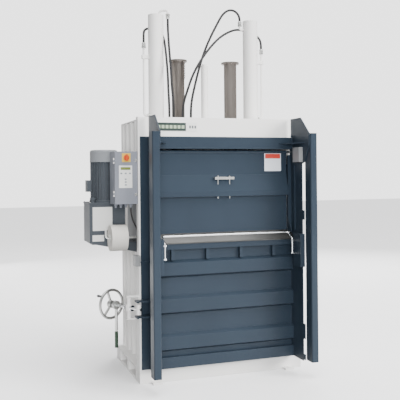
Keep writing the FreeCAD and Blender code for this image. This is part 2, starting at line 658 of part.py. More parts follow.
def flap_cheeks():
    """Side cheeks of the loading opening; they flare forward under the flap."""
    cheek = side_profile([(DOOR_GAP, LIP_TOP + 2), (DOOR_GAP, 1786), (32, 1786), (32, 1250), (84, 1168),
                          (84, LIP_TOP + 2)], CHEEK_INNER, CHEEK_INNER + 6)
    tie = box(CHEEK_INNER + 6, SIDE_INNER, FRONT - 30, FRONT - 22, LIP_TOP + 2, 1786)
    return pair(cheek.fuse(tie).removeSplitter())


def plate_strips():
    """Upright strips welded to the inner faces of the side plates."""
    return pair(box(SIDE_INNER - 8, SIDE_INNER, FRONT - 104, FRONT - 78, 1168, 1700))


def bar_brackets():
    """Blocks on the side plates that carry the safety bar's pivots."""
    block = box(SIDE_INNER - BAR_BRACKET, SIDE_INNER, FRONT - 264, FRONT - 140, 879, 1145)
    pocket = V(SIDE_INNER - BAR_BRACKET - 1, FRONT - BAR_OUT, BAR_PIVOT_Z)
    return pair(block.cut(rod(BAR_R + FIT, pocket, pocket + X_DIR * (BAR_BRACKET - 9))))


def flap_switch():
    """Flap position switch in its grey box, on the right-hand side plate."""
    return box(574, SIDE_INNER, FRONT - 240, FRONT - 130, 1725, 1845)


def hinge_pin_point(z):
    """A point on the door's hinge axis."""
    return V(DOOR_PIN_X, FRONT - DOOR_PIN_OUT, z)


def knuckle(z0, z1):
    """One hinge knuckle, bored for the pin."""
    return pipe(KNUCKLE_R, DOOR_PIN_R + FIT, hinge_pin_point(z0), hinge_pin_point(z1))


def frame_hinges():
    """Pairs of knuckles on the right-hand column, each with a leaf back to its face, and the pins."""
    pieces, pins = [], []
    for z in HINGE_HEIGHTS:
        for low in (z, z + 2 * KNUCKLE + 4):
            leaf = box(DOOR_PIN_X - 8, DOOR_PIN_X + 12, FRONT - DOOR_PIN_OUT + 9, FRONT, low, low + KNUCKLE)
            leaf = leaf.cut(rod(DOOR_PIN_R + FIT, hinge_pin_point(low - 1), hinge_pin_point(low + KNUCKLE + 1)))
            pieces.append(knuckle(low, low + KNUCKLE).fuse(leaf).removeSplitter())
        top = z + 3 * KNUCKLE + 4
        pin = rod(DOOR_PIN_R, hinge_pin_point(z - 4), hinge_pin_point(top))
        head = rod(DOOR_PIN_R + 5, hinge_pin_point(top), hinge_pin_point(top + 8))
        pins.append(pin.fuse(head).removeSplitter())
    return pieces + pins


def door_hinges():
    """Knuckles on the door's side plate, one between each pair on the column."""
    pieces = []
    for z in HINGE_HEIGHTS:
        low, high = z + KNUCKLE + 2, z + 2 * KNUCKLE + 2
        y = FRONT - DOOR_PIN_OUT
        lug = box(SIDE_INNER + PLATE, DOOR_PIN_X - 9, y - 9, y + 9, low, high)
        pieces.append(knuckle(low, high).fuse(lug).removeSplitter())
    return pieces


def lock_fork():
    """Two hooked plates on the left side plate, above and below the lock's nut."""
    plates = []
    for z in FORK_PLATES:
        x0, x1 = -SIDE_INNER - PLATE, -742
        plate = box(x0, x1, FRONT - 112, FRONT - 30, z, z + 12)
        notch = rod(NUT_R, V(-711, FRONT - 108, z - 1), V(-711, FRONT - 108, z + 13))
        plates.append(plate.cut(notch))
    return plates


def switch_key():
    """Door switch tongue on the left side plate."""
    return box(-695, -SIDE_INNER - PLATE, FRONT - 40, FRONT - 30, 950, 962)


# ---------------------------------------------------------------- flap
def flap_pin_point(x):
    """A point on the flap's hinge axis."""
    return V(x, FRONT - FLAP_OUT + PLATE / 2, FLAP_PIN_Z)


def flap_panel():
    """Loading flap: plate, folded stiffener and the rolled eye along its top edge."""
    back = FLAP_OUT - PLATE
    sheet = side_profile([(back, FLAP_BOTTOM), (FLAP_OUT, FLAP_BOTTOM), (FLAP_OUT, FLAP_PIN_Z),
                          (back, FLAP_PIN_Z)], -FLAP_HALF, FLAP_HALF)
    low, high = STIFFENER
    crest = FLAP_OUT + STIFFENER_OUT
    stiffener = side_profile([(FLAP_OUT, low), (crest, low + 4), (crest, low + 46), (FLAP_OUT + 8, high),
                              (FLAP_OUT, high)], -FLAP_HALF + 4, FLAP_HALF - 4)
    core = side_profile([(FLAP_OUT + 1, low + 7), (crest - 6, low + 9), (crest - 6, low + 44),
                         (FLAP_OUT + 4, high - 12), (FLAP_OUT + 1, high - 12)], -FLAP_HALF + 10, FLAP_HALF - 10)
    eye = rod(FLAP_PIN_R + 5, flap_pin_point(-FLAP_HALF), flap_pin_point(FLAP_HALF))
    panel = sheet.fuse(stiffener.cut(core)).fuse(eye)
    for side in SIDES:
        bolt = V(side * HANDLE_BOLT_X, FRONT - FLAP_OUT - 22, low - 20)
        panel = panel.cut(rod(HANDLE_BOLT_R + FIT, bolt, bolt + Z_DIR * (HANDLE_Z - low + 40)))
    panel = panel.cut(rod(FLAP_PIN_R + FIT, flap_pin_point(-FLAP_HALF - 1), flap_pin_point(FLAP_HALF + 1)))
    return panel.removeSplitter()


def flap_handle():
    """Grip plate on the stiffener, with two long bolts down through it."""
    y = FRONT - FLAP_OUT
    grip = box(-HANDLE_LENGTH / 2, HANDLE_LENGTH / 2, y - 10 - HANDLE_DEPTH, y - 16, HANDLE_Z, HANDLE_Z + 6)
    turned = box(-HANDLE_LENGTH / 2, HANDLE_LENGTH / 2, y - 10 - HANDLE_DEPTH, y - 4 - HANDLE_DEPTH,
                 HANDLE_Z - 14, HANDLE_Z)
    grip = grip.fuse(turned)
    for side in SIDES:
        foot = V(side * HANDLE_BOLT_X, y - 22, STIFFENER[0] - 14)
        grip = grip.fuse(rod(HANDLE_BOLT_R, foot, V(foot.x, foot.y, HANDLE_Z + 16)))
        nut = V(foot.x, foot.y, HANDLE_Z + 6)
        grip = grip.fuse(rod(HANDLE_BOLT_R + 3.5, nut, nut + Z_DIR * 7))
    return grip.removeSplitter()


def flap_rod():
    """Hinge rod of the flap, from side plate to side plate."""
    return rod(FLAP_PIN_R, flap_pin_point(-SIDE_INNER - PLATE), flap_pin_point(SIDE_INNER + PLATE))


def safety_bar():
    """Bent chromed bar in front of the sill, turning on its two lower stubs."""
    y = FRONT - BAR_OUT
    top = FRONT - BAR_TOP_OUT
    route = [V(-BAR_HALF, y, BAR_PIVOT_Z), V(-BAR_HALF, y, BAR_STUB_Z + 12), V(-BAR_HALF, top, BAR_TOP),
             V(BAR_HALF, top, BAR_TOP), V(BAR_HALF, y, BAR_STUB_Z + 12), V(BAR_HALF, y, BAR_PIVOT_Z)]
    bar, _, _ = bent_rod(route, BAR_R, 20)
    for side in SIDES:
        for z, reach in ((BAR_PIVOT_Z, SIDE_INNER - 12), (BAR_STUB_Z, SIDE_INNER - BAR_BRACKET - 3)):
            bar = bar.fuse(rod(BAR_R, V(side * (BAR_HALF - 12), y, z), V(side * reach, y, z)))
    return bar.removeSplitter()


# ---------------------------------------------------------------- power unit
def power_bracket():
    """Shelf and back plate that carry the power unit on the wall ribs."""
    rib_face = -RIB_OUT
    y0 = FRONT + 150
    y1 = max(FRONT + TANK_Y + TANK_DEPTH + 10, rib_y(2) + RIB_WIDTH / 2)     # reaches the third rib
    back = box(rib_face, rib_face - 8, y0, y1, 1000, 1420)
    shelf = box(rib_face - 8, -1010, FRONT + TANK_Y, FRONT + TANK_Y + TANK_DEPTH, 1073, 1085)
    web = prism([V(rib_face - 8, FRONT + TANK_Y, 1073), V(-980, FRONT + TANK_Y, 1073),
                 V(rib_face - 8, FRONT + TANK_Y, 1003)], V(0, 8, 0))
    far = web.copy()
    far.translate(V(0, TANK_DEPTH - 8, 0))
    return back.fuse(shelf).fuse(web).fuse(far).removeSplitter()


def tank():
    """Welded oil tank, open at the top under its lid."""
    x0, x1, z0, z1 = TANK
    y0, y1 = FRONT + TANK_Y, FRONT + TANK_Y + TANK_DEPTH
    return box(x0, x1, y0, y1, z0, z1).cut(box(x0 + 4, x1 - 4, y0 + 4, y1 - 4, z0 + 4, z1 + 1))


def tank_lid():
    """Lid plate that carries the motor above and the pump below, with the filler neck."""
    x0, x1, _, z1 = TANK
    y0, y1 = FRONT + TANK_Y, FRONT + TANK_Y + TANK_DEPTH
    lid = box(x0 - 4, x1 + 4, y0 - 4, y1 + 4, z1, z1 + 12)
    neck = V(x0 + 34, y0 + 34, z1 + 12)
    lid = lid.fuse(rod(18, neck, neck + Z_DIR * 22)).fuse(rod(25, neck + Z_DIR * 22, neck + Z_DIR * 40))
    shaft = V(MOTOR_X, FRONT + MOTOR_DEPTH, z1 - 1)
    return lid.removeSplitter().cut(rod(14, shaft, shaft + Z_DIR * 14))


def motor_point(z):
    """A point on the motor's axis."""
    return V(MOTOR_X, FRONT + MOTOR_DEPTH, z)


def pump():
    """Gear pump hung under the lid, inside the tank."""
    z1 = TANK[3]
    body = rod(48, motor_point(z1 - 130), motor_point(z1 - 20))
    return body.fuse(rod(62, motor_point(z1 - 20), motor_point(z1))).removeSplitter()


def motor_body():
    """Finned motor casing with its foot flange."""
    body = rod(MOTOR_R - 14, motor_point(MOTOR_BASE), motor_point(MOTOR_TOP))
    fins = 28
    for i in range(fins):
        fin = box(MOTOR_R - 18, MOTOR_R, -2.5, 2.5, MOTOR_BASE + 30, MOTOR_TOP - 20)
        fin.rotate(V(0, 0, 0), Z_DIR, 360.0 * i / fins)
        fin.translate(V(MOTOR_X, FRONT + MOTOR_DEPTH, 0))
        body = body.fuse(fin)
    flange = rod(MOTOR_R + 8, motor_point(MOTOR_BASE), motor_point(MOTOR_BASE + 16))
    end_bell = rod(MOTOR_R, motor_point(MOTOR_TOP - 20), motor_point(MOTOR_TOP))
    body = body.fuse(flange).fuse(end_bell)
    bore = rod(12, motor_point(MOTOR_TOP - 60), motor_point(MOTOR_TOP + 1))
    return body.cut(bore)


def motor_fan():
    """Cooling fan and its stub shaft, inside the cowl."""
    shaft = rod(12 - FIT, motor_point(MOTOR_TOP - 55), motor_point(MOTOR_TOP + 50))
    hub = rod(30, motor_point(MOTOR_TOP + 14), motor_point(MOTOR_TOP + 50))
    fan = shaft.fuse(hub)
    for i in range(7):
        blade = box(26, MOTOR_R - 18, -2, 2, MOTOR_TOP + 16, MOTOR_TOP + 48)
        blade.rotate(V(0, 0, 0), Z_DIR, 360.0 * i / 7)
        blade.translate(V(MOTOR_X, FRONT + MOTOR_DEPTH, 0))
        fan = fan.fuse(blade)
    return fan.removeSplitter()


def fan_cowl():
    """Domed cowl over the fan, with rings of air slots in its top."""
    cowl = rod(MOTOR_R + 2, motor_point(MOTOR_TOP - 18), motor_point(COWL_TOP))
    top_edge = [edge for edge in cowl.Edges if abs(edge.CenterOfMass.z - COWL_TOP) < 0.1 and edge.Closed]
    cowl = cowl.makeFillet(18, top_edge)
    inside = rod(MOTOR_R + GAP, motor_point(MOTOR_TOP - 19), motor_point(COWL_TOP - 22))
    cowl = cowl.cut(inside)
    for i in range(12):
        slot = box(34, 84, -4, 4, COWL_TOP - 30, COWL_TOP + 1)
        slot.rotate(V(0, 0, 0), Z_DIR, 30.0 * i + 15)
        slot.translate(V(MOTOR_X, FRONT + MOTOR_DEPTH, 0))
        cowl = cowl.cut(slot)
    return cowl


def terminal_box():
    """Motor terminal box on the side away from the machine."""
    x1 = MOTOR_X - MOTOR_R - GAP
    y = FRONT + MOTOR_DEPTH
    return box(x1 - 34, x1, y - 50, y + 50, 1497, 1592)


def tank_plates():
    """Blank plates on the tank's front face."""
    y = FRONT + TANK_Y
    return [box(-1005, -846, y - 1.5, y, 1185, 1375), box(-1008, -915, y - 1.5, y, 1100, 1150)]


# ---------------------------------------------------------------- control cabinet
def cabinet():
    """Sheet-steel control cabinet, open at the front under its door."""
    x0, x1, z0, z1 = CABINET
    y0, y1 = FRONT + CABINET_FRONT, FRONT + CABINET_FRONT + CABINET_DEPTH
    return box(x0, x1, y0, y1, z0, z1).cut(box(x0 + SHEET, x1 - SHEET, y0 - 1, y1 - SHEET, z0 + SHEET, z1 - SHEET))


def cabinet_door():
    """Cabinet door with folded edges, on pins at its left side."""
    x0, x1, z0, z1 = CABINET
    y1 = FRONT + CABINET_FRONT - 2 * GAP
    y0 = y1 - CABINET_DOOR
    door = box(x0, x1 - 2, y0, y1, z0 + 2, z1 - 2).cut(
        box(x0 + SHEET, x1 - 2 - SHEET, y0 + SHEET, y1 + 1, z0 + 2 + SHEET, z1 - 2 - SHEET))
    knob = V(-788, y0 - 1, 1767)
    return door.cut(rod(12 + FIT, knob, knob + Y_DIR * 5))


def cabinet_hinge_point(z):
    """A point on the cabinet door's hinge axis, beside its left edge."""
    return V(CABINET[0] - CABINET_BARREL_R - GAP, FRONT + CABINET_FRONT - 5, z)


def cabinet_barrel(low, high, leaf_back):
    """One hinge barrel with a leaf that reaches back or forward to its sheet."""
    near, far = cabinet_hinge_point(low), cabinet_hinge_point(high)
    leaf = box(near.x, CABINET[0], min(near.y, leaf_back), max(near.y, leaf_back), low, high)
    barrel = rod(CABINET_BARREL_R, near, far).fuse(leaf)
    return barrel.cut(rod(CABINET_PIN_R + FIT, near, far)).removeSplitter()


def cabinet_hinges():
    """Two hinges: a barrel above and below the door's own, with the pin through all three."""
    pieces = []
    for z in CABINET_HINGES:
        for low in (z, z + 2 * CABINET_KNUCKLE + 2 * GAP):
            pieces.append(cabinet_barrel(low, low + CABINET_KNUCKLE, FRONT + CABINET_FRONT + 14))
        low, high = cabinet_hinge_point(z), cabinet_hinge_point(z + 3 * CABINET_KNUCKLE + 2 * GAP)
        pin = rod(CABINET_PIN_R, low, high)
        pieces.append(pin.fuse(rod(CABINET_BARREL_R, high, high + Z_DIR * 2)).removeSplitter())
    return pieces


def door_barrels():
    """The cabinet door's own barrels, one in each hinge."""
    return [cabinet_barrel(z + CABINET_KNUCKLE + GAP, z + 2 * CABINET_KNUCKLE + GAP,
                           FRONT + CABINET_FRONT - CABINET_DOOR + 2) for z in CABINET_HINGES]


def switch_plate():
    """Yellow backing plate of the main switch."""
    y = FRONT + CABINET_FRONT - 2 * GAP - CABINET_DOOR
    plate = box(-822, -754, y - 2, y, 1733, 1801)
    centre = V(-788, y - 3, 1767)
    return plate.cut(rod(12 + FIT, centre, centre + Y_DIR * 4))


def switch_knob():
    """Red rotary handle of the main switch, with its round shaft."""
    y = FRONT + CABINET_FRONT - 2 * GAP - CABINET_DOOR
    centre = V(-788, y - 2 - GAP, 1767)
    knob = rod(22, centre, centre - Y_DIR * 10)
    grip = box(-796, -780, centre.y - 28, centre.y - 10, 1767 - 24, 1767 + 24)
    shaft = rod(12, centre, centre + Y_DIR * 20)
    return knob.fuse(grip).fuse(shaft).removeSplitter()


def key_panel():
    """Membrane key panel with its display, on the cabinet door."""
    y = FRONT + CABINET_FRONT - 2 * GAP - CABINET_DOOR
    return box(-846, -742, y - 2, y, 1532, 1706)


def cable_glands():
    """Cable glands under the cabinet."""
    z0 = CABINET[2]
    glands = []
    for i in range(4):
        top = V(-852 + 40 * i, FRONT + 110, z0)
        body = rod(13, top, top - Z_DIR * 14).fuse(rod(9, top - Z_DIR * 14, top - Z_DIR * 30))
        glands.append(body.removeSplitter())
    return glands


def control_cable():
    """Grey cable held between the cabinet's last gland and the wall ribs."""
    z0 = CABINET[2] - 30
    route = [V(-732, FRONT + 110, z0), V(-732, FRONT + 110, z0 - 40), V(-712, FRONT + 122, z0 - 110),
             V(-680, FRONT + 134, z0 - 165), V(-RIB_OUT - 15, FRONT + 148, z0 - 205)]
    cable, length, radii = bent_rod(route, 6)
    print("control_cable length %.0f" % length, "radii", [round(r) for r in radii])
    return cable


# ---------------------------------------------------------------- strapping roll
def roll_point(x):
    """A point on the strapping roll's axis."""
    return V(x, FRONT + ROLL_DEPTH, ROLL_Z)


def strap_roll():
    """Roll of woven strapping."""
    return pipe(ROLL_R, ROLL_BORE_R, roll_point(ROLL_LEFT), roll_point(ROLL_RIGHT))


def roll_mandrel():
    """Tube on the holder rod that the roll turns on, with its inner disc."""
    tube = pipe(ROLL_BORE_R - FIT, 9, roll_point(ROLL_LEFT + 2), roll_point(ROLL_RIGHT + 4))
    disc = pipe(72, 9, roll_point(ROLL_RIGHT + 4), roll_point(ROLL_RIGHT + 8))
    return tube.fuse(disc).removeSplitter()


def roll_holder():
    """Bent holder rod with its flange plate and two stays from the column."""
    side = -(CHAMBER_HALF + PLATE)
    route = [roll_point(side), roll_point(ROLL_LEFT - 30), roll_point(ROLL_LEFT - 30) + Z_DIR * 62]
    holder, _, _ = bent_rod(route, 9, 22)
    plate = box(side, side - 10, FRONT + ROLL_DEPTH - 40, FRONT + ROLL_DEPTH + 14, ROLL_Z - 110, ROLL_Z + 125)
    return holder.fuse(plate).removeSplitter()


# ---------------------------------------------------------------- door lock
def lock_frame_point(along, height=0.0):
    """A point on the spindle's axis: along is measured forward of the pivot."""
    angle = math.radians(LOCK_ANGLE)
    ahead = V(math.sin(angle), -math.cos(angle), 0) * along
    return V(LOCK_PIVOT_X, FRONT + LOCK_PIVOT_DEPTH, LOCK_Z + height) + ahead


def lock_bracket():
    """Two lugs on the left column with the fixed pivot pin between them."""
    pieces = []
    y = FRONT + LOCK_PIVOT_DEPTH
    for z in (LOCK_Z - 92, LOCK_Z + 80):
        pieces.append(box(LOCK_PIVOT_X - 20, -COLUMN_OUT, y - 20, y + 20, z, z + 12))
    pin = rod(9, V(LOCK_PIVOT_X, y, LOCK_Z - 92), V(LOCK_PIVOT_X, y, LOCK_Z - 60))
    upper = rod(9, V(LOCK_PIVOT_X, y, LOCK_Z + 60), V(LOCK_PIVOT_X, y, LOCK_Z + 92))
    lugs = [pieces[0].fuse(pin).removeSplitter(), pieces[1].fuse(upper).removeSplitter()]
    plate = box(-COLUMN_OUT - 6, -COLUMN_OUT, y - 24, y + 24, LOCK_Z - 80, LOCK_Z + 80)
    return lugs + [plate]


def lock_pivot():
    """White pivot bar: it turns on the pins and is bored for the spindle."""
    bar = rod(16, lock_frame_point(0, -78), lock_frame_point(0, 78))
    collar = rod(27, lock_frame_point(0, -24), lock_frame_point(0, 24))
    block = bar.fuse(collar)
    block = block.cut(rod(SPINDLE_R + FIT, lock_frame_point(-40), lock_frame_point(40)))
    for low, high in ((-79, -58), (58, 79)):
        block = block.cut(rod(9 + FIT, lock_frame_point(0, low), lock_frame_point(0, high)))
    return block.removeSplitter()


def lock_spindle():
    """Screw spindle with a collar each side of the pivot bar."""
    spindle = rod(SPINDLE_R, lock_frame_point(-WHEEL_BACK + 16), lock_frame_point(NUT_AHEAD + 26))
    for near in (-46, 30):
        spindle = spindle.fuse(rod(SPINDLE_R + 12, lock_frame_point(near), lock_frame_point(near + 14)))
    return spindle.removeSplitter()


def lock_nut():
    """Upright nut at the spindle's front end."""
    nut = rod(NUT_R, lock_frame_point(NUT_AHEAD, -NUT_HEIGHT / 2), lock_frame_point(NUT_AHEAD, NUT_HEIGHT / 2))
    return nut.cut(rod(SPINDLE_R + FIT, lock_frame_point(NUT_AHEAD - 30), lock_frame_point(NUT_AHEAD + 30)))


def lock_axis():
    """Unit vector along the spindle, towards the door."""
    axis = lock_frame_point(1) - lock_frame_point(0)
    axis.normalize()
    return axis


def handwheel():
    """Cast handwheel: round rim, three spokes, hub and crank pin."""
    centre, axis = lock_frame_point(-WHEEL_BACK), lock_axis()
    wheel = Part.makeTorus(WHEEL_R, WHEEL_RIM_R, centre, axis)
    hub = rod(30, lock_frame_point(-WHEEL_BACK - 20), lock_frame_point(-WHEEL_BACK + 16))
    wheel = wheel.fuse(hub)
    for i in range(3):
        spoke = rod(10, centre, centre + Z_DIR * WHEEL_R)
        spoke.rotate(centre, axis, 120.0 * i + 20)
        wheel = wheel.fuse(spoke)
    pin = rod(5, crank_point(0), crank_point(-70))
    return wheel.fuse(pin).removeSplitter()


def crank_point(along):
    """A point on the crank grip's axis, on the wheel's rim."""
    centre, axis = lock_frame_point(-WHEEL_BACK), lock_axis()
    across = V(-axis.y, axis.x, 0)
    angle = math.radians(CRANK_ANGLE)
    rim = centre + across * (WHEEL_R * math.cos(angle)) + Z_DIR * (WHEEL_R * math.sin(angle))
    return rim + axis * along


def crank_grip():
    """Turned grip that spins on the wheel's crank pin."""
    grip = rod(11, crank_point(-WHEEL_RIM_R - 2), crank_point(-66))
    return grip.cut(rod(5 + FIT, crank_point(0), crank_point(-80)))


def ratchet_lever():
    """Ratchet lever: a ring round the spindle and a bar that hangs from it."""
    near, far = lock_frame_point(-LEVER_BACK - 13), lock_frame_point(-LEVER_BACK + 13)
    ring = rod(RATCHET_R, near, far)
    centre = lock_frame_point(-LEVER_BACK)
    arm = rod(12, centre, centre - Z_DIR * (LEVER_LENGTH - GRIP_LENGTH - 2))
    lever = ring.fuse(arm).fuse(rod(7, centre, centre - Z_DIR * LEVER_LENGTH))
    return lever.cut(rod(SPINDLE_R + FIT, near - lock_axis(), far + lock_axis())).removeSplitter()


def lever_grip():
    """Dark green grip sleeve on the lever's end."""
    end = lock_frame_point(-LEVER_BACK, -LEVER_LENGTH)
    sleeve = rod(14, end - Z_DIR * 6, end + Z_DIR * (GRIP_LENGTH - 6))
    return sleeve.cut(rod(7 + FIT, end - Z_DIR * GAP, end + Z_DIR * GRIP_LENGTH))


def limit_switch():
    """Door switch box on the left column."""
    return box(-737, -COLUMN_OUT, FRONT - 50, FRONT + 34, 926, 1008)


# ---------------------------------------------------------------- build
def frame_nodes():
    """The standing frame and the chamber."""
    return {
        "base_frame": [base_frame()],
        "chamber_floor": [chamber_floor()],
        "columns": columns(COLUMN_OUT, FRONT, FRONT + COLUMN_DEPTH)
        + columns(RIB_OUT, BACK - COLUMN_DEPTH, BACK),
        "chamber_walls": side_walls() + [rear_wall()],
        "wall_stiffeners": wall_ribs() + column_gussets(),
        "head_beams": head_beams(),
        "cylinder_beam": [cylinder_beam()],
        "deck_plates": deck_plates(),
        "label_plates": sign_plates() + tank_plates(),
        "frame_hinges": frame_hinges() + cabinet_hinges(),
        "limit_switch": [limit_switch()],
    }


def press_nodes():
    """The cylinders, guides, hoses and the platen that they push."""
    nodes = {
        "cylinder_barrels": cylinder_barrels(),
        "guide_bushes": guide_bushes() + cylinder_glands(),
        "sensor_tube": [sensor_tube()],
        "steel_pipes": rod_end_pipes() + pipe_clips() + cap_elbows(),
        "hose_fittings": hose_ferrules() + [hose_manifold()],
        "piston_rods": piston_rods(),
        "guide_tubes": guide_tubes(),
        "flange_chain": flange_chain(),
        "platen": [platen()],
    }
    for name in HOSES:
        nodes[name] = [hose(name)]
    return nodes


def door_nodes():
    """The door with its posts, and the flap and safety bar that it carries."""
    return {
        "door_skin": [door_skin()],
        "door_bands": door_bands() + door_rails(),
        "sill_lip": [lip()],
        "side_plates": side_plates(),
        "door_posts": door_posts(),
        "door_stiffeners": strap_guides() + bridge_plates() + corner_gussets() + flap_cheeks() + plate_strips(),
        "crossbeam": [crossbeam()],
        "bar_brackets": bar_brackets(),
        "flap_switch": [flap_switch()],
        "door_hinges": door_hinges() + corner_bolts(),
        "lock_fork": lock_fork() + [switch_key()],
        "flap_rod": [flap_rod()],
        "flap_panel": [flap_panel()],
        "flap_handle": [flap_handle()],
        "safety_bar": [safety_bar()],
    }


def side_nodes():
    """The power unit, control cabinet, strapping roll and door lock on the left."""
    return {
        "power_bracket": [power_bracket()],
        "oil_tank": [tank()],
        "tank_lid": [tank_lid()],
        "gear_pump": [pump()],
        "motor_body": [motor_body(), terminal_box()],
        "motor_fan": [motor_fan()],
        "fan_cowl": [fan_cowl()],
        "cabinet": [cabinet()] + cable_glands(),
        "cabinet_door": [cabinet_door()] + door_barrels(),
        "panel_plates": [switch_plate(), key_panel()],
        "switch_knob": [switch_knob()],
        "control_cable": [control_cable()],
        "strap_roll": [strap_roll()],
        "roll_holder": [roll_holder(), roll_mandrel()],
        "lock_bracket": lock_bracket(),
        "lock_pivot": [lock_pivot(), lock_nut()],
        "lock_spindle": [lock_spindle()],
        "handwheel": [handwheel()],
        "crank_grip": [crank_grip()],
        "ratchet_lever": [ratchet_lever()],
        "lever_grip": [lever_grip()],
    }


os.makedirs("parts", exist_ok=True)
for group in (frame_nodes(), press_nodes(), door_nodes(), side_nodes()):
    for node, shapes in group.items():
        export(node, shapes)
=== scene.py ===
# %% [markdown]
# A vertical recycling baler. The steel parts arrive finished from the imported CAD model, at real
# size in metres. Everything below adds what CAD leaves plain: paint, bare metal, hoses, bolts,
# weld beads and labels.

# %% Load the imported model
import json
import math

import bmesh
import bpy
import numpy as np
from mathutils import Matrix, Vector


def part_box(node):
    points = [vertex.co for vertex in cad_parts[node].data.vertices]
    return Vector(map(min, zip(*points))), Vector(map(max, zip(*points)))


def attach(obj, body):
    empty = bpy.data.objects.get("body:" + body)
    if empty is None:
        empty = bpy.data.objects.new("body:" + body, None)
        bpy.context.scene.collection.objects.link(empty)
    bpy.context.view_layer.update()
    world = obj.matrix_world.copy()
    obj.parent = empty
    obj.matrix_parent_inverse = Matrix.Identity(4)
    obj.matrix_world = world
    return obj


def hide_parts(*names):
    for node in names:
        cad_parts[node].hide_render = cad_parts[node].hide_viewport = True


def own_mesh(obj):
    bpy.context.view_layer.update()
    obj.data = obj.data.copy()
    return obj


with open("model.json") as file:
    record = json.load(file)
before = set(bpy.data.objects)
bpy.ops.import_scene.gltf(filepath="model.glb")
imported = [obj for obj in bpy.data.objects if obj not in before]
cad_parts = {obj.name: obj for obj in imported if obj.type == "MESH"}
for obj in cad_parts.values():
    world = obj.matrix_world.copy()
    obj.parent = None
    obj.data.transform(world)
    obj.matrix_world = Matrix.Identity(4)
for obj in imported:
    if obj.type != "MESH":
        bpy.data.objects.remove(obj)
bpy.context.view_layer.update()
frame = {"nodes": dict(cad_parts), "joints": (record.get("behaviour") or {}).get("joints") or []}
scene = bpy.context.scene

# %% [markdown]
# The camera stands in front of the machine and to its left, a little above half its height, and
# looks level. A level camera keeps upright edges upright, and a small downward shift brings
# the feet into the frame without tilting it.

# %% Camera
HEADING = math.radians(19.06)
ROLL = math.radians(-0.52)
camera_data = bpy.data.cameras.new("camera")
camera_data.lens, camera_data.sensor_width = 60.9, 36
camera_data.shift_y = -0.0656
camera = bpy.data.objects.new("camera", camera_data)
scene.collection.objects.link(camera)
look = Vector((math.sin(HEADING), math.cos(HEADING), 0))
turn = look.to_track_quat("-Z", "Y").to_matrix().to_4x4() @ Matrix.Rotation(ROLL, 4, "Z")
camera.matrix_world = Matrix.Translation((-1.962, -5.557, 1.637)) @ turn
scene.camera = camera
print("camera looks along", [round(x, 3) for x in look])

# %% [markdown]
# A studio is a pale floor, a white screen and a few broad lamps, which leave soft edges on their
# shadows. The key stands high on the right and a fill stands near the camera. Two weaker lamps
# stand behind, so that the side of the frame reads darker than its front. The screen looks far
# brighter than the light it casts, because paint lit evenly from all round would lose its shape,
# and smooth surfaces mirror a third, middle brightness.

# %% Stage and lights
MIRRORED_LIGHT = 0.9        # what the room looks like in smooth metal and paint
SURROUND_LIGHT = 0.36       # what the room adds to every surface
SCREEN_BRIGHTNESS = 2.8     # how bright the white screen behind the machine looks
OVERHEAD_LIGHT = 5.2        # even light from above, for the floor and all level faces


def area_light(name, place, target, size, power, colour=(1, 1, 1)):
    """A square lamp facing a target, left out of reflections so that smooth plates stay clear."""
    lamp = bpy.data.lights.new(name, "AREA")
    lamp.size, lamp.energy, lamp.color = size, power, colour
    holder = bpy.data.objects.new(name, lamp)
    holder.location = place
    holder.rotation_euler = (Vector(target) - Vector(place)).to_track_quat("-Z", "Y").to_euler()
    holder.visible_glossy = False
    scene.collection.objects.link(holder)


area_light("key_lamp", (6.0, -6.4, 4.2), (0, -0.3, 1.3), 4.0, 1250, (1.0, 0.99, 0.98))
area_light("fill_lamp", (-2.6, -9.0, 2.4), (0, -0.3, 1.3), 4.0, 1050, (0.98, 0.99, 1.0))
area_light("rear_left_lamp", (-2.9, 6.5, 2.6), (-0.5, 0, 1.2), 4.5, 200)
area_light("rear_right_lamp", (4.5, 6.0, 4.5), (0, 0, 1.4), 3.5, 650)
overhead = bpy.data.lights.new("overhead", "SUN")
overhead.energy, overhead.angle = OVERHEAD_LIGHT, math.radians(50)
overhead_lamp = bpy.data.objects.new("overhead", overhead)
overhead_lamp.rotation_euler = (math.radians(18), math.radians(8), 0)
scene.collection.objects.link(overhead_lamp)

world = bpy.data.worlds.new("studio")
world.use_nodes = True
room = world.node_tree
room.nodes.remove(room.nodes["Background"])


def white_room(brightness):
    """The shader of an evenly white room of that brightness."""
    background = room.nodes.new("ShaderNodeBackground")
    background.inputs["Color"].default_value = (1, 1, 1, 1)
    background.inputs["Strength"].default_value = brightness
    return background.outputs[0]


ray = room.nodes.new("ShaderNodeLightPath")
shown = white_room(SURROUND_LIGHT)
for ray_kind, brightness in (("Is Glossy Ray", MIRRORED_LIGHT), ("Is Camera Ray", SCREEN_BRIGHTNESS)):
    chooser = room.nodes.new("ShaderNodeMixShader")
    room.links.new(ray.outputs[ray_kind], chooser.inputs[0])
    room.links.new(shown, chooser.inputs[1])
    room.links.new(white_room(brightness), chooser.inputs[2])
    shown = chooser.outputs[0]
room.links.new(shown, room.nodes["World Output"].inputs["Surface"])
scene.world = world

# %% [markdown]
# Shader maths reads best as ordinary maths. `Value` wraps one output socket, so `1 - mask` or
# `noise * 0.2` adds the Math node it needs, and `Finish.node` adds any other node from its type,
# its settings and what its sockets are fed.

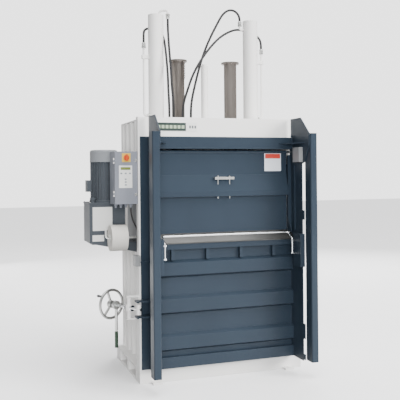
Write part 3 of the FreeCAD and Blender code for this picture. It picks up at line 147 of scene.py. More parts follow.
# %% Shader tools
class Value:
    """An output socket of one finish; arithmetic on it adds Math nodes."""

    def __init__(self, finish, socket):
        self.finish, self.socket = finish, socket

    def _maths(self, operation, first, second):
        return self.finish.node("Math", {"operation": operation}, {0: first, 1: second})

    def __add__(self, other):
        return self._maths("ADD", self, other)

    def __mul__(self, other):
        return self._maths("MULTIPLY", self, other)

    def __sub__(self, other):
        return self._maths("SUBTRACT", self, other)

    def __rsub__(self, other):
        return self._maths("SUBTRACT", other, self)

    def __pow__(self, other):
        return self._maths("POWER", self, other)

    def __gt__(self, other):
        return self._maths("GREATER_THAN", self, other)

    def __lt__(self, other):
        return self._maths("LESS_THAN", self, other)

    __radd__, __rmul__ = __add__, __mul__


class Finish:
    """A material under construction, with one method that adds nodes."""

    def __init__(self, name):
        self.material = bpy.data.materials.new(name)
        self.material.use_nodes = True
        self.tree = self.material.node_tree
        self.shader = self.tree.nodes["Principled BSDF"]

    def feed(self, socket, value):
        """Links a Value to an input socket, or sets a plain number or colour on it."""
        if isinstance(value, Value):
            self.tree.links.new(value.socket, socket)
        else:
            socket.default_value = value

    def node(self, kind, settings=None, inputs=None, output=0):
        """Adds a shader node: its settings first, then its sockets, and returns one output."""
        made = self.tree.nodes.new("ShaderNode" + kind)
        for key, value in (settings or {}).items():
            if key == "stops":
                self.ramp_stops(made.color_ramp, value)
            else:
                setattr(made, key, value)
        for key, value in (inputs or {}).items():
            self.feed(made.inputs[key], value)
        return Value(self, made.outputs[output])

    @staticmethod
    def ramp_stops(ramp, stops):
        """Sets a colour ramp to a list of (position, grey or colour) stops."""
        while len(ramp.elements) < len(stops):
            ramp.elements.new(0.5)
        for element, (position, tone) in zip(ramp.elements, stops):
            element.position = position
            element.color = tone if hasattr(tone, "__len__") else (tone, tone, tone, 1)

    def set(self, **inputs):
        """Feeds the Principled shader; underscores in a name stand for spaces."""
        for key, value in inputs.items():
            self.feed(self.shader.inputs[key.replace("_", " ")], value)
        return self.material


def place_of(finish, scale):
    """Object coordinates in metres, stretched for a pattern."""
    where = finish.node("TexCoord", output="Object")
    return finish.node("Mapping", {}, {"Vector": where, "Scale": scale})


def noise(finish, scale, detail=3.0, rough=0.5, stretch=(1, 1, 1)):
    """Soft random value of about 0.3 to 0.7; scale is in patches per metre."""
    settings = {"noise_dimensions": "3D"}
    inputs = {"Vector": place_of(finish, stretch), "Scale": scale, "Detail": detail, "Roughness": rough}
    return finish.node("TexNoise", settings, inputs)


def blend_colours(finish, share, first, second):
    """The first colour where share is 0 and the second where it is 1.

    A Mix node set to colours takes its share in socket 0 and its colours in sockets 6 and 7.
    """
    inputs = {0: share, 6: first, 7: second}
    return finish.node("Mix", {"data_type": "RGBA"}, inputs, output=2)


def ramp(finish, value, *stops):
    """A value sent through a ramp of (position, tone) stops."""
    return finish.node("ValToRGB", {"stops": list(stops)}, {"Fac": value})


def axis_value(finish, axis):
    """One object coordinate, in metres, as a value: 0 is X, 1 is Y and 2 is Z."""
    where = finish.node("TexCoord", output="Object")
    return finish.node("SeparateXYZ", {}, {"Vector": where}, output=axis)


def soft_edges(finish, radius):
    """Normals rounded over a plate's edges, as a brake press and paint leave them."""
    return finish.node("Bevel", {"samples": 6}, {"Radius": radius})


def bumped(finish, height, distance, strength, edge=0.0015):
    """A bump of that many metres over softly rounded edges."""
    inputs = {"Height": height, "Distance": distance, "Strength": strength}
    inputs["Normal"] = soft_edges(finish, edge)
    return finish.node("Bump", {}, inputs)


def edge_mask(finish, radius):
    """1 along sharp outer edges and 0 on flats: where rounded and true normals part."""
    true_normal = finish.node("NewGeometry", output="Normal")
    inputs = {0: soft_edges(finish, radius), 1: true_normal}
    alike = finish.node("VectorMath", {"operation": "DOT_PRODUCT"}, inputs, output="Value")
    return ramp(finish, 1 - alike, (0.02, 0.0), (0.16, 1.0))


print("shader tools ready")

# %% [markdown]
# Powder coat is a plain colour that is never quite even. Its skin has an orange peel a few
# millimetres across, and handling dulls it in soft patches. Its colour is lighter along a plate's
# rounded edges, partly because the paint is thinner there and partly as a painted highlight of
# the light line those edges catch. One function makes all the painted finishes from a few numbers.

# %% Powder coat
def powder_coat(name, colour, roughness, mottle, edge_wear_highlight_gain, grime, sheen=0.25):
    """Paint with orange peel, mottled gloss, dust low on the machine, and lighter edges that are partly thin
    paint and partly a painted highlight.
    """
    finish = Finish(name)
    light = tuple(min(1.0, c * (1 + mottle)) for c in colour) + (1,)
    dark = tuple(c * (1 - mottle) for c in colour) + (1,)
    # the edge tone: partly thinner paint, partly a painted highlight where the edges catch the light
    pale = tuple(min(1.0, c * edge_wear_highlight_gain + 0.01) for c in colour) + (1,)
    dusty = tuple(0.75 * c + 0.05 for c in colour) + (1,)
    patches = ramp(finish, noise(finish, 2.3, 4.0), (0.32, 0.0), (0.68, 1.0))
    tone = blend_colours(finish, patches, dark, light)
    low_down = ramp(finish, axis_value(finish, 2), (0.0, 1.0), (0.55, 0.0))
    specks = ramp(finish, noise(finish, 38.0, 5.0, 0.65), (0.48, 0.0), (0.72, 1.0))
    tone = blend_colours(finish, low_down * specks * grime, tone, dusty)
    # painted highlight along the edges, mixed with the lighter tone of thin paint there
    tone = blend_colours(finish, edge_mask(finish, 0.002) * 0.6, tone, pale)
    gloss = roughness - 0.05 + noise(finish, 9.0, 3.0) * 0.12
    peel = noise(finish, 420.0, 2.0) * 0.75 + noise(finish, 60.0, 1.0) * 0.25
    finish.shader.inputs["Specular IOR Level"].default_value = sheen
    return finish.set(Base_Color=tone, Roughness=gloss, Normal=bumped(finish, peel, 0.0004, 0.35))


light_paint = powder_coat("light_paint", (0.80, 0.79, 0.775), 0.42, 0.02, 1.08, 0.2)
blue_paint = powder_coat("blue_paint", (0.0190, 0.0285, 0.0410), 0.38, 0.07, 2.2, 0.12, 0.22)
dark_paint = powder_coat("dark_paint", (0.058, 0.066, 0.076), 0.42, 0.09, 1.9, 0.1, 0.18)
cowl_paint = powder_coat("cowl_paint", (0.21, 0.22, 0.235), 0.36, 0.08, 1.6, 0.0)
cabinet_paint = powder_coat("cabinet_paint", (0.20, 0.212, 0.245), 0.36, 0.05, 1.8, 0.0)
print("paints", light_paint.name, blue_paint.name, dark_paint.name)

# %% [markdown]
# Bare steel is not grey paint with shine: drawn tube keeps fine lines along its length, oil
# browns it in streaks, and its gloss changes with them. Stretching a noise along one axis gives
# both the lines and the streaks.

# %% Metals
def bare_metal(name, colour, stain, roughness, grain=(1, 1, 0.03), stain_share=0.5):
    """Uncoated metal with drawing lines along the stretched axis and oily stains."""
    finish = Finish(name)
    bright = tuple(min(1, c * 1.4) for c in colour) + (1,)
    lines = noise(finish, 260.0, 2.0, 0.5, grain)
    streak_grain = tuple(max(g, 0.25) for g in grain)
    streaks = ramp(finish, noise(finish, 7.0, 4.0, 0.6, streak_grain), (0.38, 0.0), (0.66, 1.0))
    tone = blend_colours(finish, streaks * stain_share, colour + (1,), stain + (1,))
    tone = blend_colours(finish, edge_mask(finish, 0.001) * 0.4, tone, bright)
    gloss = roughness + (lines - 0.5) * 0.22 + streaks * 0.08
    return finish.set(Base_Color=tone, Metallic=1.0, Roughness=gloss,
                      Normal=bumped(finish, lines, 0.0002, 0.4, 0.001))


guide_steel = bare_metal("guide_steel", (0.27, 0.245, 0.225), (0.10, 0.082, 0.068), 0.38)
rod_chrome = bare_metal("rod_chrome", (0.78, 0.79, 0.80), (0.62, 0.63, 0.64), 0.12, (0.03, 1, 1), 0.3)
zinc_plate = bare_metal("zinc_plate", (0.58, 0.59, 0.58), (0.40, 0.40, 0.37), 0.30, (1, 1, 1), 0.4)
stainless = bare_metal("stainless", (0.09, 0.09, 0.088), (0.07, 0.07, 0.068), 0.42, (0.02, 1, 1), 0.35)
cast_alloy = bare_metal("cast_alloy", (0.42, 0.42, 0.41), (0.25, 0.25, 0.24), 0.34, (1, 1, 1), 0.35)
print("metals", guide_steel.name, rod_chrome.name, zinc_plate.name, stainless.name, cast_alloy.name)

# %% [markdown]
# Plastics and rubber share a moulded skin: a fine grain in the surface and a gloss that varies a
# little. Only colour, roughness and the depth of the grain tell them apart.

# %% Plastics and rubber
MOULD_MOTTLE = 0.08             # how far a moulding's colour strays to either side


def moulded(name, colour, roughness, grain=900.0, depth=0.0002):
    """Moulded plastic or rubber with a fine grain and a slightly uneven gloss."""
    finish = Finish(name)
    dark = tuple(c * (1 - MOULD_MOTTLE) for c in colour) + (1,)
    light = tuple(min(1.0, c * (1 + MOULD_MOTTLE) + 0.003) for c in colour) + (1,)
    patches = ramp(finish, noise(finish, 14.0, 3.0), (0.35, 0.0), (0.65, 1.0))
    tone = blend_colours(finish, patches, dark, light)
    gloss = roughness - 0.05 + noise(finish, 30.0, 2.0) * 0.1
    return finish.set(Base_Color=tone, Roughness=gloss,
                      Normal=bumped(finish, noise(finish, grain, 2.0), depth, 0.5, 0.001))


hose_rubber = moulded("hose_rubber", (0.012, 0.012, 0.0125), 0.62, 500.0, 0.0004)
grey_plastic = moulded("grey_plastic", (0.20, 0.205, 0.21), 0.42)
red_plastic = moulded("red_plastic", (0.55, 0.06, 0.01), 0.30)
yellow_film = moulded("yellow_film", (0.60, 0.42, 0.05), 0.35, 600.0, 0.0001)
green_rubber = moulded("green_rubber", (0.012, 0.032, 0.016), 0.55, 300.0, 0.0006)
black_plastic = moulded("black_plastic", (0.02, 0.02, 0.022), 0.4)
print("plastics", grey_plastic.name, red_plastic.name, green_rubber.name)

# %% [markdown]
# A hydraulic hose is stiff: it leaves its fitting straight, swings over in one wide arch and
# drops to the valve block. Its line is a smooth NURBS spline through the air, with the same
# control points as the CAD hose, and the spline carries a round section.

# %% Hoses
HOSE_RADIUS = 0.010
FRONT = -0.421                  # y of the frame's front face
HOSES = {                       # each hose's length in metres, and the points of its route
    "hose_rod_left": (1.143, [
        (-0.540, 0.403, 2.742), (-0.540, 0.403, 2.792), (-0.534, 0.424, 2.839), (-0.510, 0.462, 2.873),
        (-0.462, 0.497, 2.891), (-0.405, 0.502, 2.885), (-0.366, 0.480, 2.855), (-0.348, 0.450, 2.801),
        (-0.346, 0.418, 2.716), (-0.352, 0.360, 2.600), (-0.360, 0.300, 2.460), (-0.372, 0.250, 2.330),
        (-0.376, 0.212, 2.200), (-0.376, 0.212, 2.092)]),
    "hose_cap_left": (0.872, [
        (-0.340, 0.359, 2.948), (-0.340, 0.359, 2.888), (-0.341, 0.340, 2.780), (-0.343, 0.304, 2.650),
        (-0.342, 0.270, 2.500), (-0.346, 0.238, 2.360), (-0.338, 0.212, 2.220), (-0.338, 0.212, 2.092)]),
    "hose_cap_right": (1.273, [
        (0.335, 0.403, 2.977), (0.335, 0.403, 3.011), (0.317, 0.402, 3.047), (0.284, 0.400, 3.070),
        (0.242, 0.397, 3.074), (0.202, 0.393, 3.057), (0.159, 0.388, 3.016), (0.106, 0.378, 2.926),
        (0.032, 0.358, 2.796), (-0.036, 0.328, 2.656), (-0.094, 0.290, 2.508), (-0.142, 0.250, 2.370),
        (-0.174, 0.224, 2.270), (-0.190, 0.212, 2.180), (-0.190, 0.212, 2.092)]),
    "hose_rod_right": (1.494, [
        (0.540, 0.403, 2.742), (0.540, 0.403, 2.792), (0.534, 0.424, 2.842), (0.510, 0.462, 2.882),
        (0.462, 0.497, 2.909), (0.400, 0.504, 2.928), (0.328, 0.484, 2.924), (0.242, 0.440, 2.888),
        (0.138, 0.370, 2.826), (0.034, 0.310, 2.734), (-0.078, 0.256, 2.604), (-0.168, 0.224, 2.462),
        (-0.222, 0.212, 2.320), (-0.262, 0.212, 2.196), (-0.262, 0.212, 2.092)]),
}


def hose(name, route):
    """A round hose along a smooth spline; route holds (x, distance behind the front face, z)."""
    points = [(x, FRONT + back, z) for x, back, z in route]
    curve = bpy.data.curves.new(name, "CURVE")
    curve.dimensions = "3D"
    curve.bevel_depth, curve.bevel_resolution = HOSE_RADIUS, 5
    curve.use_fill_caps = True
    spline = curve.splines.new("NURBS")
    spline.points.add(len(points) - 1)
    for control, point in zip(spline.points, points):
        control.co = (*point, 1)
    spline.order_u = 3
    spline.use_endpoint_u = True
    spline.resolution_u = 12
    line = bpy.data.objects.new(name + "_line", curve)
    scene.collection.objects.link(line)
    curve.materials.append(hose_rubber)
    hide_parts(name)
    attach(line, "frame")


for hose_name, (hose_length, hose_route) in HOSES.items():
    hose(hose_name, hose_route)
print("hoses", len(HOSES), "total metres", round(sum(length for length, route in HOSES.values()), 2))

# %% [markdown]
# Plates and films are flat print: fields of plain colour with sharp borders. A mask that is 1
# inside a rectangle of object coordinates places a field to the millimetre, and it needs no
# texture file and no UV map. The name plate is a dark field in a pale border, left without lettering.

# %% Printed plates
def inside(finish, left, right, bottom, top):
    """1 inside an upright rectangle of object X and Z, in metres, and 0 outside it."""
    x, z = axis_value(finish, 0), axis_value(finish, 2)
    return (x > left) * (x < right) * (z > bottom) * (z < top)


FILM_ROUGHNESS = 0.32


def printed(name, base, fields):
    """Film of a base colour with rectangular fields, each (left, right, bottom, top, colour)."""
    finish = Finish(name)
    cloud = ramp(finish, noise(finish, 24.0, 3.0), (0.3, 0.92), (0.7, 1.0))
    tone = blend_colours(finish, cloud, tuple(c * 0.93 for c in base) + (1,), base + (1,))
    for left, right, bottom, top, colour in fields:
        tone = blend_colours(finish, inside(finish, left, right, bottom, top), tone, colour + (1,))
    gloss = FILM_ROUGHNESS + noise(finish, 60.0, 2.0) * 0.08
    return finish.set(Base_Color=tone, Roughness=gloss,
                      Normal=bumped(finish, noise(finish, 500.0, 2.0), 0.0001, 0.4, 0.0006))


def row_of_blocks(first, pitch, width, middle, height, count, colour):
    """Equal fields side by side: the first one's left edge, their step, and their middle height."""
    bottom, top = middle - height / 2, middle + height / 2
    return [(first + pitch * i, first + pitch * i + width, bottom, top, colour) for i in range(count)]


PALE, DARK = (0.72, 0.72, 0.70), (0.022, 0.034, 0.030)
YELLOW, RED = (0.62, 0.40, 0.06), (0.50, 0.045, 0.03)
BLOCK_GREEN, MARK_GREY = (0.34, 0.42, 0.30), (0.10, 0.11, 0.12)
SIGN_LEFT, SIGN_RIGHT, SIGN_BOTTOM, SIGN_TOP = -0.556, -0.300, 1.975, 2.047
SIGN_BORDER = 0.003
SIGN_MIDDLE = (SIGN_BOTTOM + SIGN_TOP) / 2
SIGN_FIELDS = [(SIGN_LEFT + SIGN_BORDER, SIGN_RIGHT - SIGN_BORDER, SIGN_BOTTOM + SIGN_BORDER,
                SIGN_TOP - SIGN_BORDER, DARK)]
SIGN_FIELDS += row_of_blocks(-0.538, 0.033, 0.024, SIGN_MIDDLE, 0.026, 7, BLOCK_GREEN)
SIGN_FIELDS += row_of_blocks(-0.276, 0.022, 0.014, SIGN_MIDDLE, 0.022, 3, MARK_GREY)
sign_film = printed("sign_film", PALE, SIGN_FIELDS)
switch_film = printed("switch_film", PALE, [(-0.830, -0.750, 1.725, 1.810, YELLOW)])
sticker_film = printed("sticker_film", (0.70, 0.73, 0.78), [(0.376, 0.514, 1.758, 1.797, RED)])
print("films", sign_film.name, switch_film.name, sticker_film.name)

# %% [markdown]
# The strapping is a woven tape wound in hundreds of turns. Seen from its end the turns are fine
# rings about the roll's axis, so the pattern follows the distance from that axis. Along the roll
# the tape's two selvedges repeat at every tape width.

# %% Strapping
ROLL_AXIS = (-0.301, 1.138)     # y and z of the roll's axis
TAPE_WIDTH, TURN_PITCH, JOINT_HALF = 0.016, 0.0013, 0.0006


def woven_tape():
    """Rings TURN_PITCH apart round the axis, and a shallow joint at every tape width."""
    finish = Finish("woven_strap")
    across, up = axis_value(finish, 1) - ROLL_AXIS[0], axis_value(finish, 2) - ROLL_AXIS[1]
    radius = (across * across + up * up) ** 0.5
    ring = finish.node("Math", {"operation": "SINE"}, {0: radius * (2 * math.pi / TURN_PITCH)})
    along = axis_value(finish, 0)
    joint = finish.node("Math", {"operation": "PINGPONG"}, {0: along, 1: TAPE_WIDTH / 2})
    seam = joint < JOINT_HALF
    weave = noise(finish, 700.0, 2.0)
    height = ring * 0.35 + weave * 0.5 - seam * 0.8
    tone = blend_colours(finish, seam * 0.5, (0.66, 0.64, 0.60, 1), (0.40, 0.385, 0.35, 1))
    shade = ramp(finish, noise(finish, 18.0, 3.0), (0.35, 0.0), (0.65, 1.0))
    tone = blend_colours(finish, shade * 0.25, tone, (0.56, 0.535, 0.49, 1))
    return finish.set(Base_Color=tone, Roughness=0.62 + weave * 0.15,
                      Normal=bumped(finish, height, 0.0004, 0.7, 0.002))


woven_strap = woven_tape()
print("strapping", woven_strap.name)

# %% [markdown]
# Most CAD nodes keep their shape and only take a finish. One table says which finish goes on
# which node.

# %% Finishes on the CAD nodes
NODE_FINISHES = {
    light_paint: ["base_frame", "chamber_floor", "columns", "chamber_walls", "wall_stiffeners",
                  "head_beams", "cylinder_beam", "deck_plates", "frame_hinges", "cylinder_barrels",
                  "sensor_tube", "steel_pipes", "lock_bracket", "lock_pivot"],
    blue_paint: ["platen", "door_skin", "door_bands", "side_plates", "door_posts", "door_stiffeners",
                 "crossbeam", "bar_brackets", "door_hinges", "lock_fork", "flap_panel"],
    dark_paint: ["motor_body", "oil_tank", "tank_lid", "power_bracket"],
    cowl_paint: ["fan_cowl"],
    cabinet_paint: ["cabinet", "cabinet_door"],
    guide_steel: ["guide_tubes", "gear_pump"],
    rod_chrome: ["piston_rods", "safety_bar", "lock_spindle", "flap_rod"],
    zinc_plate: ["guide_bushes", "hose_fittings", "flap_handle", "roll_holder", "ratchet_lever"],
    stainless: ["sill_lip"],
    cast_alloy: ["handwheel"],
    grey_plastic: ["flap_switch", "limit_switch", "motor_fan"],
    red_plastic: ["switch_knob"],
    hose_rubber: ["control_cable"],
    green_rubber: ["lever_grip"],
    switch_film: ["panel_plates"],
    sign_film: ["label_plates"],
    woven_strap: ["strap_roll"],
}


def dress(node, material):
    """Gives a CAD node's object one finish."""
    slots = frame["nodes"][node].data.materials
    slots.clear()
    slots.append(material)


for node_finish, node_names in NODE_FINISHES.items():
    for node_name in node_names:
        dress(node_name, node_finish)
print("nodes dressed", sum(len(names) for names in NODE_FINISHES.values()))

# %% [markdown]
# New pieces are surfaces worked out as arrays. A grid of points, row by row, is wrapped round
# into a closed skin: a turned part is a profile carried round an axis, a plate is its outline
# drawn in towards the middle, and a rod is a circle carried along a path. Rings of no radius
# close the ends, and merging doubles turns each such ring into one pole.

# %% Surface helpers
def ring_angles(sides):
    """Evenly spaced angles round a full turn."""
    return np.arange(sides) * (2 * math.pi / sides)


def turned(profile, sides=24):
    """Turned grid about Z: each profile point (r, h) gives the ring (r cos a, r sin a, h)."""
    radius, height = np.array(profile).T
    angle = ring_angles(sides)
    grid = np.empty((len(radius), sides, 3))
    grid[..., 0] = radius[:, None] * np.cos(angle)
    grid[..., 1] = radius[:, None] * np.sin(angle)
    grid[..., 2] = height[:, None]
    return grid


def plate(width, height, thickness, corner, edge=0.0003, sides=24):
    """Plate grid standing on Z = 0: its round-cornered outline, drawn in to the middle on both faces.

    The outline is the corner centres (w/2 - c, h/2 - c), signed by quadrant, plus c (cos a, sin a).
    """
    angle = ring_angles(sides) + math.pi / sides
    reach = np.stack([np.sign(np.cos(angle)) * (width / 2 - corner),
                      np.sign(np.sin(angle)) * (height / 2 - corner)], axis=-1)
    round_part = np.stack([np.cos(angle), np.sin(angle)], axis=-1)
    rows = [(0, 0, 0), (1, corner, 0), (1, corner, thickness - edge), (1, corner - edge, thickness),
            (0, 0, thickness)]
    grid = np.empty((len(rows), sides, 3))
    for row, (share, radius, z) in enumerate(rows):
        grid[row, :, :2] = reach * share + round_part * radius
        grid[row, :, 2] = z
    return grid


def bar(path, radius, flat, sides, closed=False):
    """Round bar along a path in one plane: centre + r (cos a side + sin a flat).

    flat is the plane's normal, and side is at right angles to it and to the path.
    """
    path, flat = np.asarray(path, float), np.asarray(flat, float)
    radius = np.broadcast_to(np.asarray(radius, float), len(path))
    ahead = np.roll(path, -1, 0) - np.roll(path, 1, 0) if closed else np.gradient(path, axis=0)
    side = np.cross(ahead, flat)
    side /= np.linalg.norm(side, axis=1, keepdims=True)
    if not closed:
        path = np.concatenate([path[:1], path, path[-1:]])
        side = np.concatenate([side[:1], side, side[-1:]])
        radius = np.concatenate([[0], radius, [0]])
    angle = ring_angles(sides)[None, :, None]
    section = np.cos(angle) * side[:, None, :] + np.sin(angle) * flat
    return path[:, None, :] + radius[:, None, None] * section


def stood(grid, foot, axis):
    """The grid turned so that its Z lies along axis, then moved to foot."""
    turn = np.array(Vector(axis).to_track_quat("Z", "Y").to_matrix())
    return grid @ turn.T + np.array(foot)


def grid_faces(rows, columns, closed):
    """Quads of a grid whose columns wrap round; its rows do too if closed."""
    row = np.arange(rows if closed else rows - 1)[:, None]
    column = np.arange(columns)[None, :]
    beside = (column + 1) % columns
    here, after = row * columns, (row + 1) % rows * columns
    corners = [here + column, here + beside, after + beside, after + column]
    return np.stack(corners, axis=-1).reshape(-1, 4)


def piece(name, grids, finish, body, closed=False, crease=32):
    """One object from several grids, with its poles merged and every face turned outward."""
    faces, start = [], 0
    for grid in grids:
        rows, columns = grid.shape[:2]
        faces.append(grid_faces(rows, columns, closed) + start)
        start += rows * columns
    mesh = bpy.data.meshes.new(name)
    points = np.concatenate([grid.reshape(-1, 3) for grid in grids])
    mesh.from_pydata(points.tolist(), [], np.concatenate(faces).tolist())
    skin = bmesh.new()
    skin.from_mesh(mesh)
    bmesh.ops.remove_doubles(skin, verts=skin.verts, dist=1e-6)
    bmesh.ops.recalc_face_normals(skin, faces=skin.faces)
    skin.to_mesh(mesh)
    skin.free()
    mesh.shade_smooth()
    mesh.set_sharp_from_angle(angle=math.radians(crease))
    mesh.materials.append(finish)
    made = bpy.data.objects.new(name, mesh)
    scene.collection.objects.link(made)
    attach(made, body)
    print(name, "pieces", len(grids), "faces", len(mesh.polygons))
    return made


# %% [markdown]
# A hose end is a steel sleeve crimped on in rings, over a hexagon nut that screws on the pipe.
# Both are turned profiles, the nut with six sides. They stand on the fitting's own axis, which is
# the direction in which the hose's first run leaves.

# %% Crimped hose ends
FERRULE = 0.042                 # length of each fitting beyond the hose's end
NUT_LENGTH, SLEEVE_END = 0.0140, 0.0430
RING_PITCH, RING_COUNT = 0.005, 5
CRIMP = [(0, NUT_LENGTH), (0.0150, NUT_LENGTH)]
for ring in range(RING_COUNT):
    ring_foot = NUT_LENGTH + 0.0015 + RING_PITCH * ring
    CRIMP += [(0.0165, ring_foot), (0.0165, ring_foot + 0.0025), (0.0152, ring_foot + 0.0037)]
CRIMP += [(0.0140, SLEEVE_END), (0, SLEEVE_END)]
NUT = [(0, 0), (0.0175, 0), (0.0195, 0.0012), (0.0195, NUT_LENGTH - 0.0012), (0.0175, NUT_LENGTH),
       (0, NUT_LENGTH)]
sleeves, nuts = [], []
for hose_length, route in HOSES.values():
    for near, beyond in ((route[0], route[1]), (route[-1], route[-2])):
        near, beyond = (np.array([x, FRONT + back, z]) for x, back, z in (near, beyond))
        inward = (beyond - near) / np.linalg.norm(beyond - near)
        sleeves.append(stood(turned(CRIMP), near - inward * FERRULE, inward))
        nuts.append(stood(turned(NUT, 6), near - inward * FERRULE, inward))
piece("crimp_sleeves", sleeves, zinc_plate, "frame")
piece("hose_nuts", nuts, zinc_plate, "frame", crease=20)

# %% [markdown]
# A bolt head is a hexagon with its corners turned off, on a round washer. Bolts stand in rings on
# the cylinder collars and the bush flanges, and in rows on the tank lid, so one function places
# any list.

# %% Hexagon bolts
def hexagon(across, height):
    """Chamfered hexagon head; across is measured over its corners."""
    corner = across / 2
    profile = [(0, 0), (corner, 0), (corner, height * 0.8), (corner * 0.87, height), (0, height)]
    return turned(profile, 6)


def washer(radius, thickness):
    """Plain washer with a softly turned edge."""
    edge = thickness * 0.3
    shoulder = thickness - edge
    return turned([(0, 0), (radius, 0), (radius, shoulder), (radius - edge, thickness), (0, thickness)], 20)


UP = (0, 0, 1)


def bolts(name, feet, size):
    """Upright bolt heads on washers, on the frame; size is the thread's diameter."""
    washer_height = size * 0.18
    grids = []
    for foot in feet:
        grids.append(stood(washer(size * 1.05, washer_height), foot, UP))
        head_foot = np.array(foot) + np.array(UP) * washer_height
        grids.append(stood(hexagon(size * 1.85, size * 0.65), head_foot, UP))
    piece(name, grids, zinc_plate, "frame", crease=20)


def bolt_ring(centre, radius, count):
    """Points evenly spaced round a circle in a level plane, starting half a step off the X axis."""
    x, y, z = centre
    angle = ring_angles(count) + math.pi / count
    return [(x + radius * math.cos(a), y + radius * math.sin(a), z) for a in angle]


barrel_low, barrel_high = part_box("cylinder_barrels")
PRESS_Y = (barrel_low[1] + barrel_high[1]) / 2
CYLINDER_X, GUIDE_X, FRAME_TOP = 0.434, 0.240, 2.087
COLLAR_TOP, FLANGE_TOP = FRAME_TOP + 0.018, FRAME_TOP + 0.010
COLLAR_CIRCLE, GUIDE_CIRCLE, SENSOR_CIRCLE = 0.0775, 0.0800, 0.039      # radii of the bolt circles
collar_feet, flange_feet = [], []
for side in (-1, 1):
    collar_feet += bolt_ring((side * CYLINDER_X, PRESS_Y, COLLAR_TOP), COLLAR_CIRCLE, 6)
    flange_feet += bolt_ring((side * GUIDE_X, PRESS_Y, FLANGE_TOP), GUIDE_CIRCLE, 6)
flange_feet += bolt_ring((0, PRESS_Y, FLANGE_TOP), SENSOR_CIRCLE, 4)
bolts("collar_bolts", collar_feet, 0.010)
bolts("flange_bolts", flange_feet, 0.008)
lid_low, lid_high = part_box("tank_lid")
LID_TOP, LID_INSET = 1.412, 0.010
lid_middle = (lid_low[0] + lid_high[0]) / 2 + 0.09      # off the middle, clear of the motor
lid_feet = [(x, y, LID_TOP) for x in (lid_low[0] + LID_INSET, lid_middle, lid_high[0] - LID_INSET)
            for y in (lid_low[1] + LID_INSET, lid_high[1] - LID_INSET)]
bolts("lid_screws", lid_feet, 0.006)

# %% [markdown]
# Each cylinder's lower port is a screwed boss with a hexagon union, where the rigid pipe starts.

# %% Port unions
BARREL_RADIUS, PORT_SINK, PORT_HEIGHT = 0.065, 0.003, 2.130
BOSS = [(0, 0), (0.021, 0), (0.021, 0.006), (0.019, 0.008), (0, 0.008)]
port_grids = []
for side in (-1, 1):
    foot = (side * (CYLINDER_X + BARREL_RADIUS - PORT_SINK), PRESS_Y, PORT_HEIGHT)
    port_grids += [stood(grid, foot, (side, 0, 0)) for grid in (turned(BOSS), hexagon(0.034, 0.019))]
piece("port_unions", port_grids, zinc_plate, "frame", crease=20)

# %% [markdown]
# The chain is forged in short oval links, each turned a quarter round from the last. A link is a
# round wire along a stadium: two straight sides joined by half circles.

# %% Chain
EYE = np.array((-0.204, -0.082, 2.595))
LINK_WIRE, LINK_PITCH, LINK_COUNT = 0.0026, 0.0149, 9
LINK_HALF_LENGTH, LINK_HALF_WIDTH = 0.0101, 0.0068
SHACKLE_DROP, FIRST_LINK_DROP = 0.0105, 0.0247         # from the eye down to their middles


def link_path(half_length, half_width, steps=20):
    """Stadium in the XZ plane: (w cos a, w sin a) pushed up or down by half_length - w."""
    angle = ring_angles(steps) + math.pi / steps
    rise = np.sign(np.sin(angle)) * (half_length - half_width)
    return np.stack([half_width * np.cos(angle), 0 * angle, half_width * np.sin(angle) + rise], axis=-1)


def quarter_turned(grid):
    """The grid turned 90 degrees about Z."""
    return np.stack([-grid[..., 1], grid[..., 0], grid[..., 2]], axis=-1)


LINK = bar(link_path(LINK_HALF_LENGTH, LINK_HALF_WIDTH), LINK_WIRE, (0, 1, 0), 8, closed=True)
link_grids = []
for i in range(LINK_COUNT):
    centre = EYE - (0, 0, FIRST_LINK_DROP + i * LINK_PITCH)
    link_grids.append((LINK if i % 2 else quarter_turned(LINK)) + centre)
shackle = bar(link_path(0.0125, 0.0070), 0.003, (0, 1, 0), 8, closed=True) + EYE - (0, 0, SHACKLE_DROP)
chain = piece("lifting_chain", link_grids + [shackle], guide_steel, "press", closed=True)
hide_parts("flange_chain")
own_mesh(chain)

# %% [markdown]
# The handwheel's crank handle is turned like a file handle: a waist near the rim and a swelling
# under the palm, with a bore for its pin. Its profile is a closed loop, so the grid closes both ways.

# %% Crank handle
crank_joint = next(j for j in frame["joints"] if j["name"] == "crank_grip_spin")
crank_axis = -np.array(crank_joint["axis"])
grip_foot = np.array(crank_joint["pos_m"]) + crank_axis * 0.013
GRIP = [(0.0052, 0.0), (0.0085, 0.0), (0.0100, 0.0015), (0.0098, 0.005), (0.0078, 0.012), (0.0082, 0.019),
        (0.0098, 0.028), (0.0109, 0.037), (0.0108, 0.044), (0.0090, 0.050), (0.0065, 0.053), (0.0052, 0.053)]
crank_handle = piece("crank_handle", [stood(turned(GRIP, 28), grip_foot, crank_axis)], black_plastic,
                     "crank_grip", closed=True)
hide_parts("crank_grip")

# %% [markdown]
# The flap's sticker, the display and the keys are thin plates on the sheet behind them. The keys
# stand a little proud, as a membrane panel's do over their domes. The locks are turned discs with
# a round socket for the cabinet key.

# %% Stickers and keys
FORWARD = (0, -1, 0)
FLAP_FACE, PANEL_FACE, DOOR_FACE = -0.441, -0.4116, -0.4096     # y of the faces they lie on
KEY_MIDDLE = -0.794             # x of the display and of the middle column of keys
piece("flap_sticker", [stood(plate(0.150, 0.149, 0.0008, 0.004), (0.445, FLAP_FACE, 1.7285), FORWARD)],
      sticker_film, "flap")
piece("display_window", [stood(plate(0.078, 0.021, 0.0010, 0.002), (KEY_MIDDLE, PANEL_FACE, 1.683), FORWARD)],
      moulded("display_glass", (0.16, 0.20, 0.05), 0.2), "cabinet_door")
key_spots = [(KEY_MIDDLE + 0.034 * i, 1.645) for i in (-1, 0, 1)]
key_spots += [(KEY_MIDDLE, 1.600 - 0.022 * i) for i in range(3)]
KEY = plate(0.015, 0.011, 0.0012, 0.003)
piece("panel_keys", [stood(KEY, (x, PANEL_FACE, z), FORWARD) for x, z in key_spots],
      moulded("key_grey", (0.22, 0.24, 0.27), 0.4), "cabinet_door")
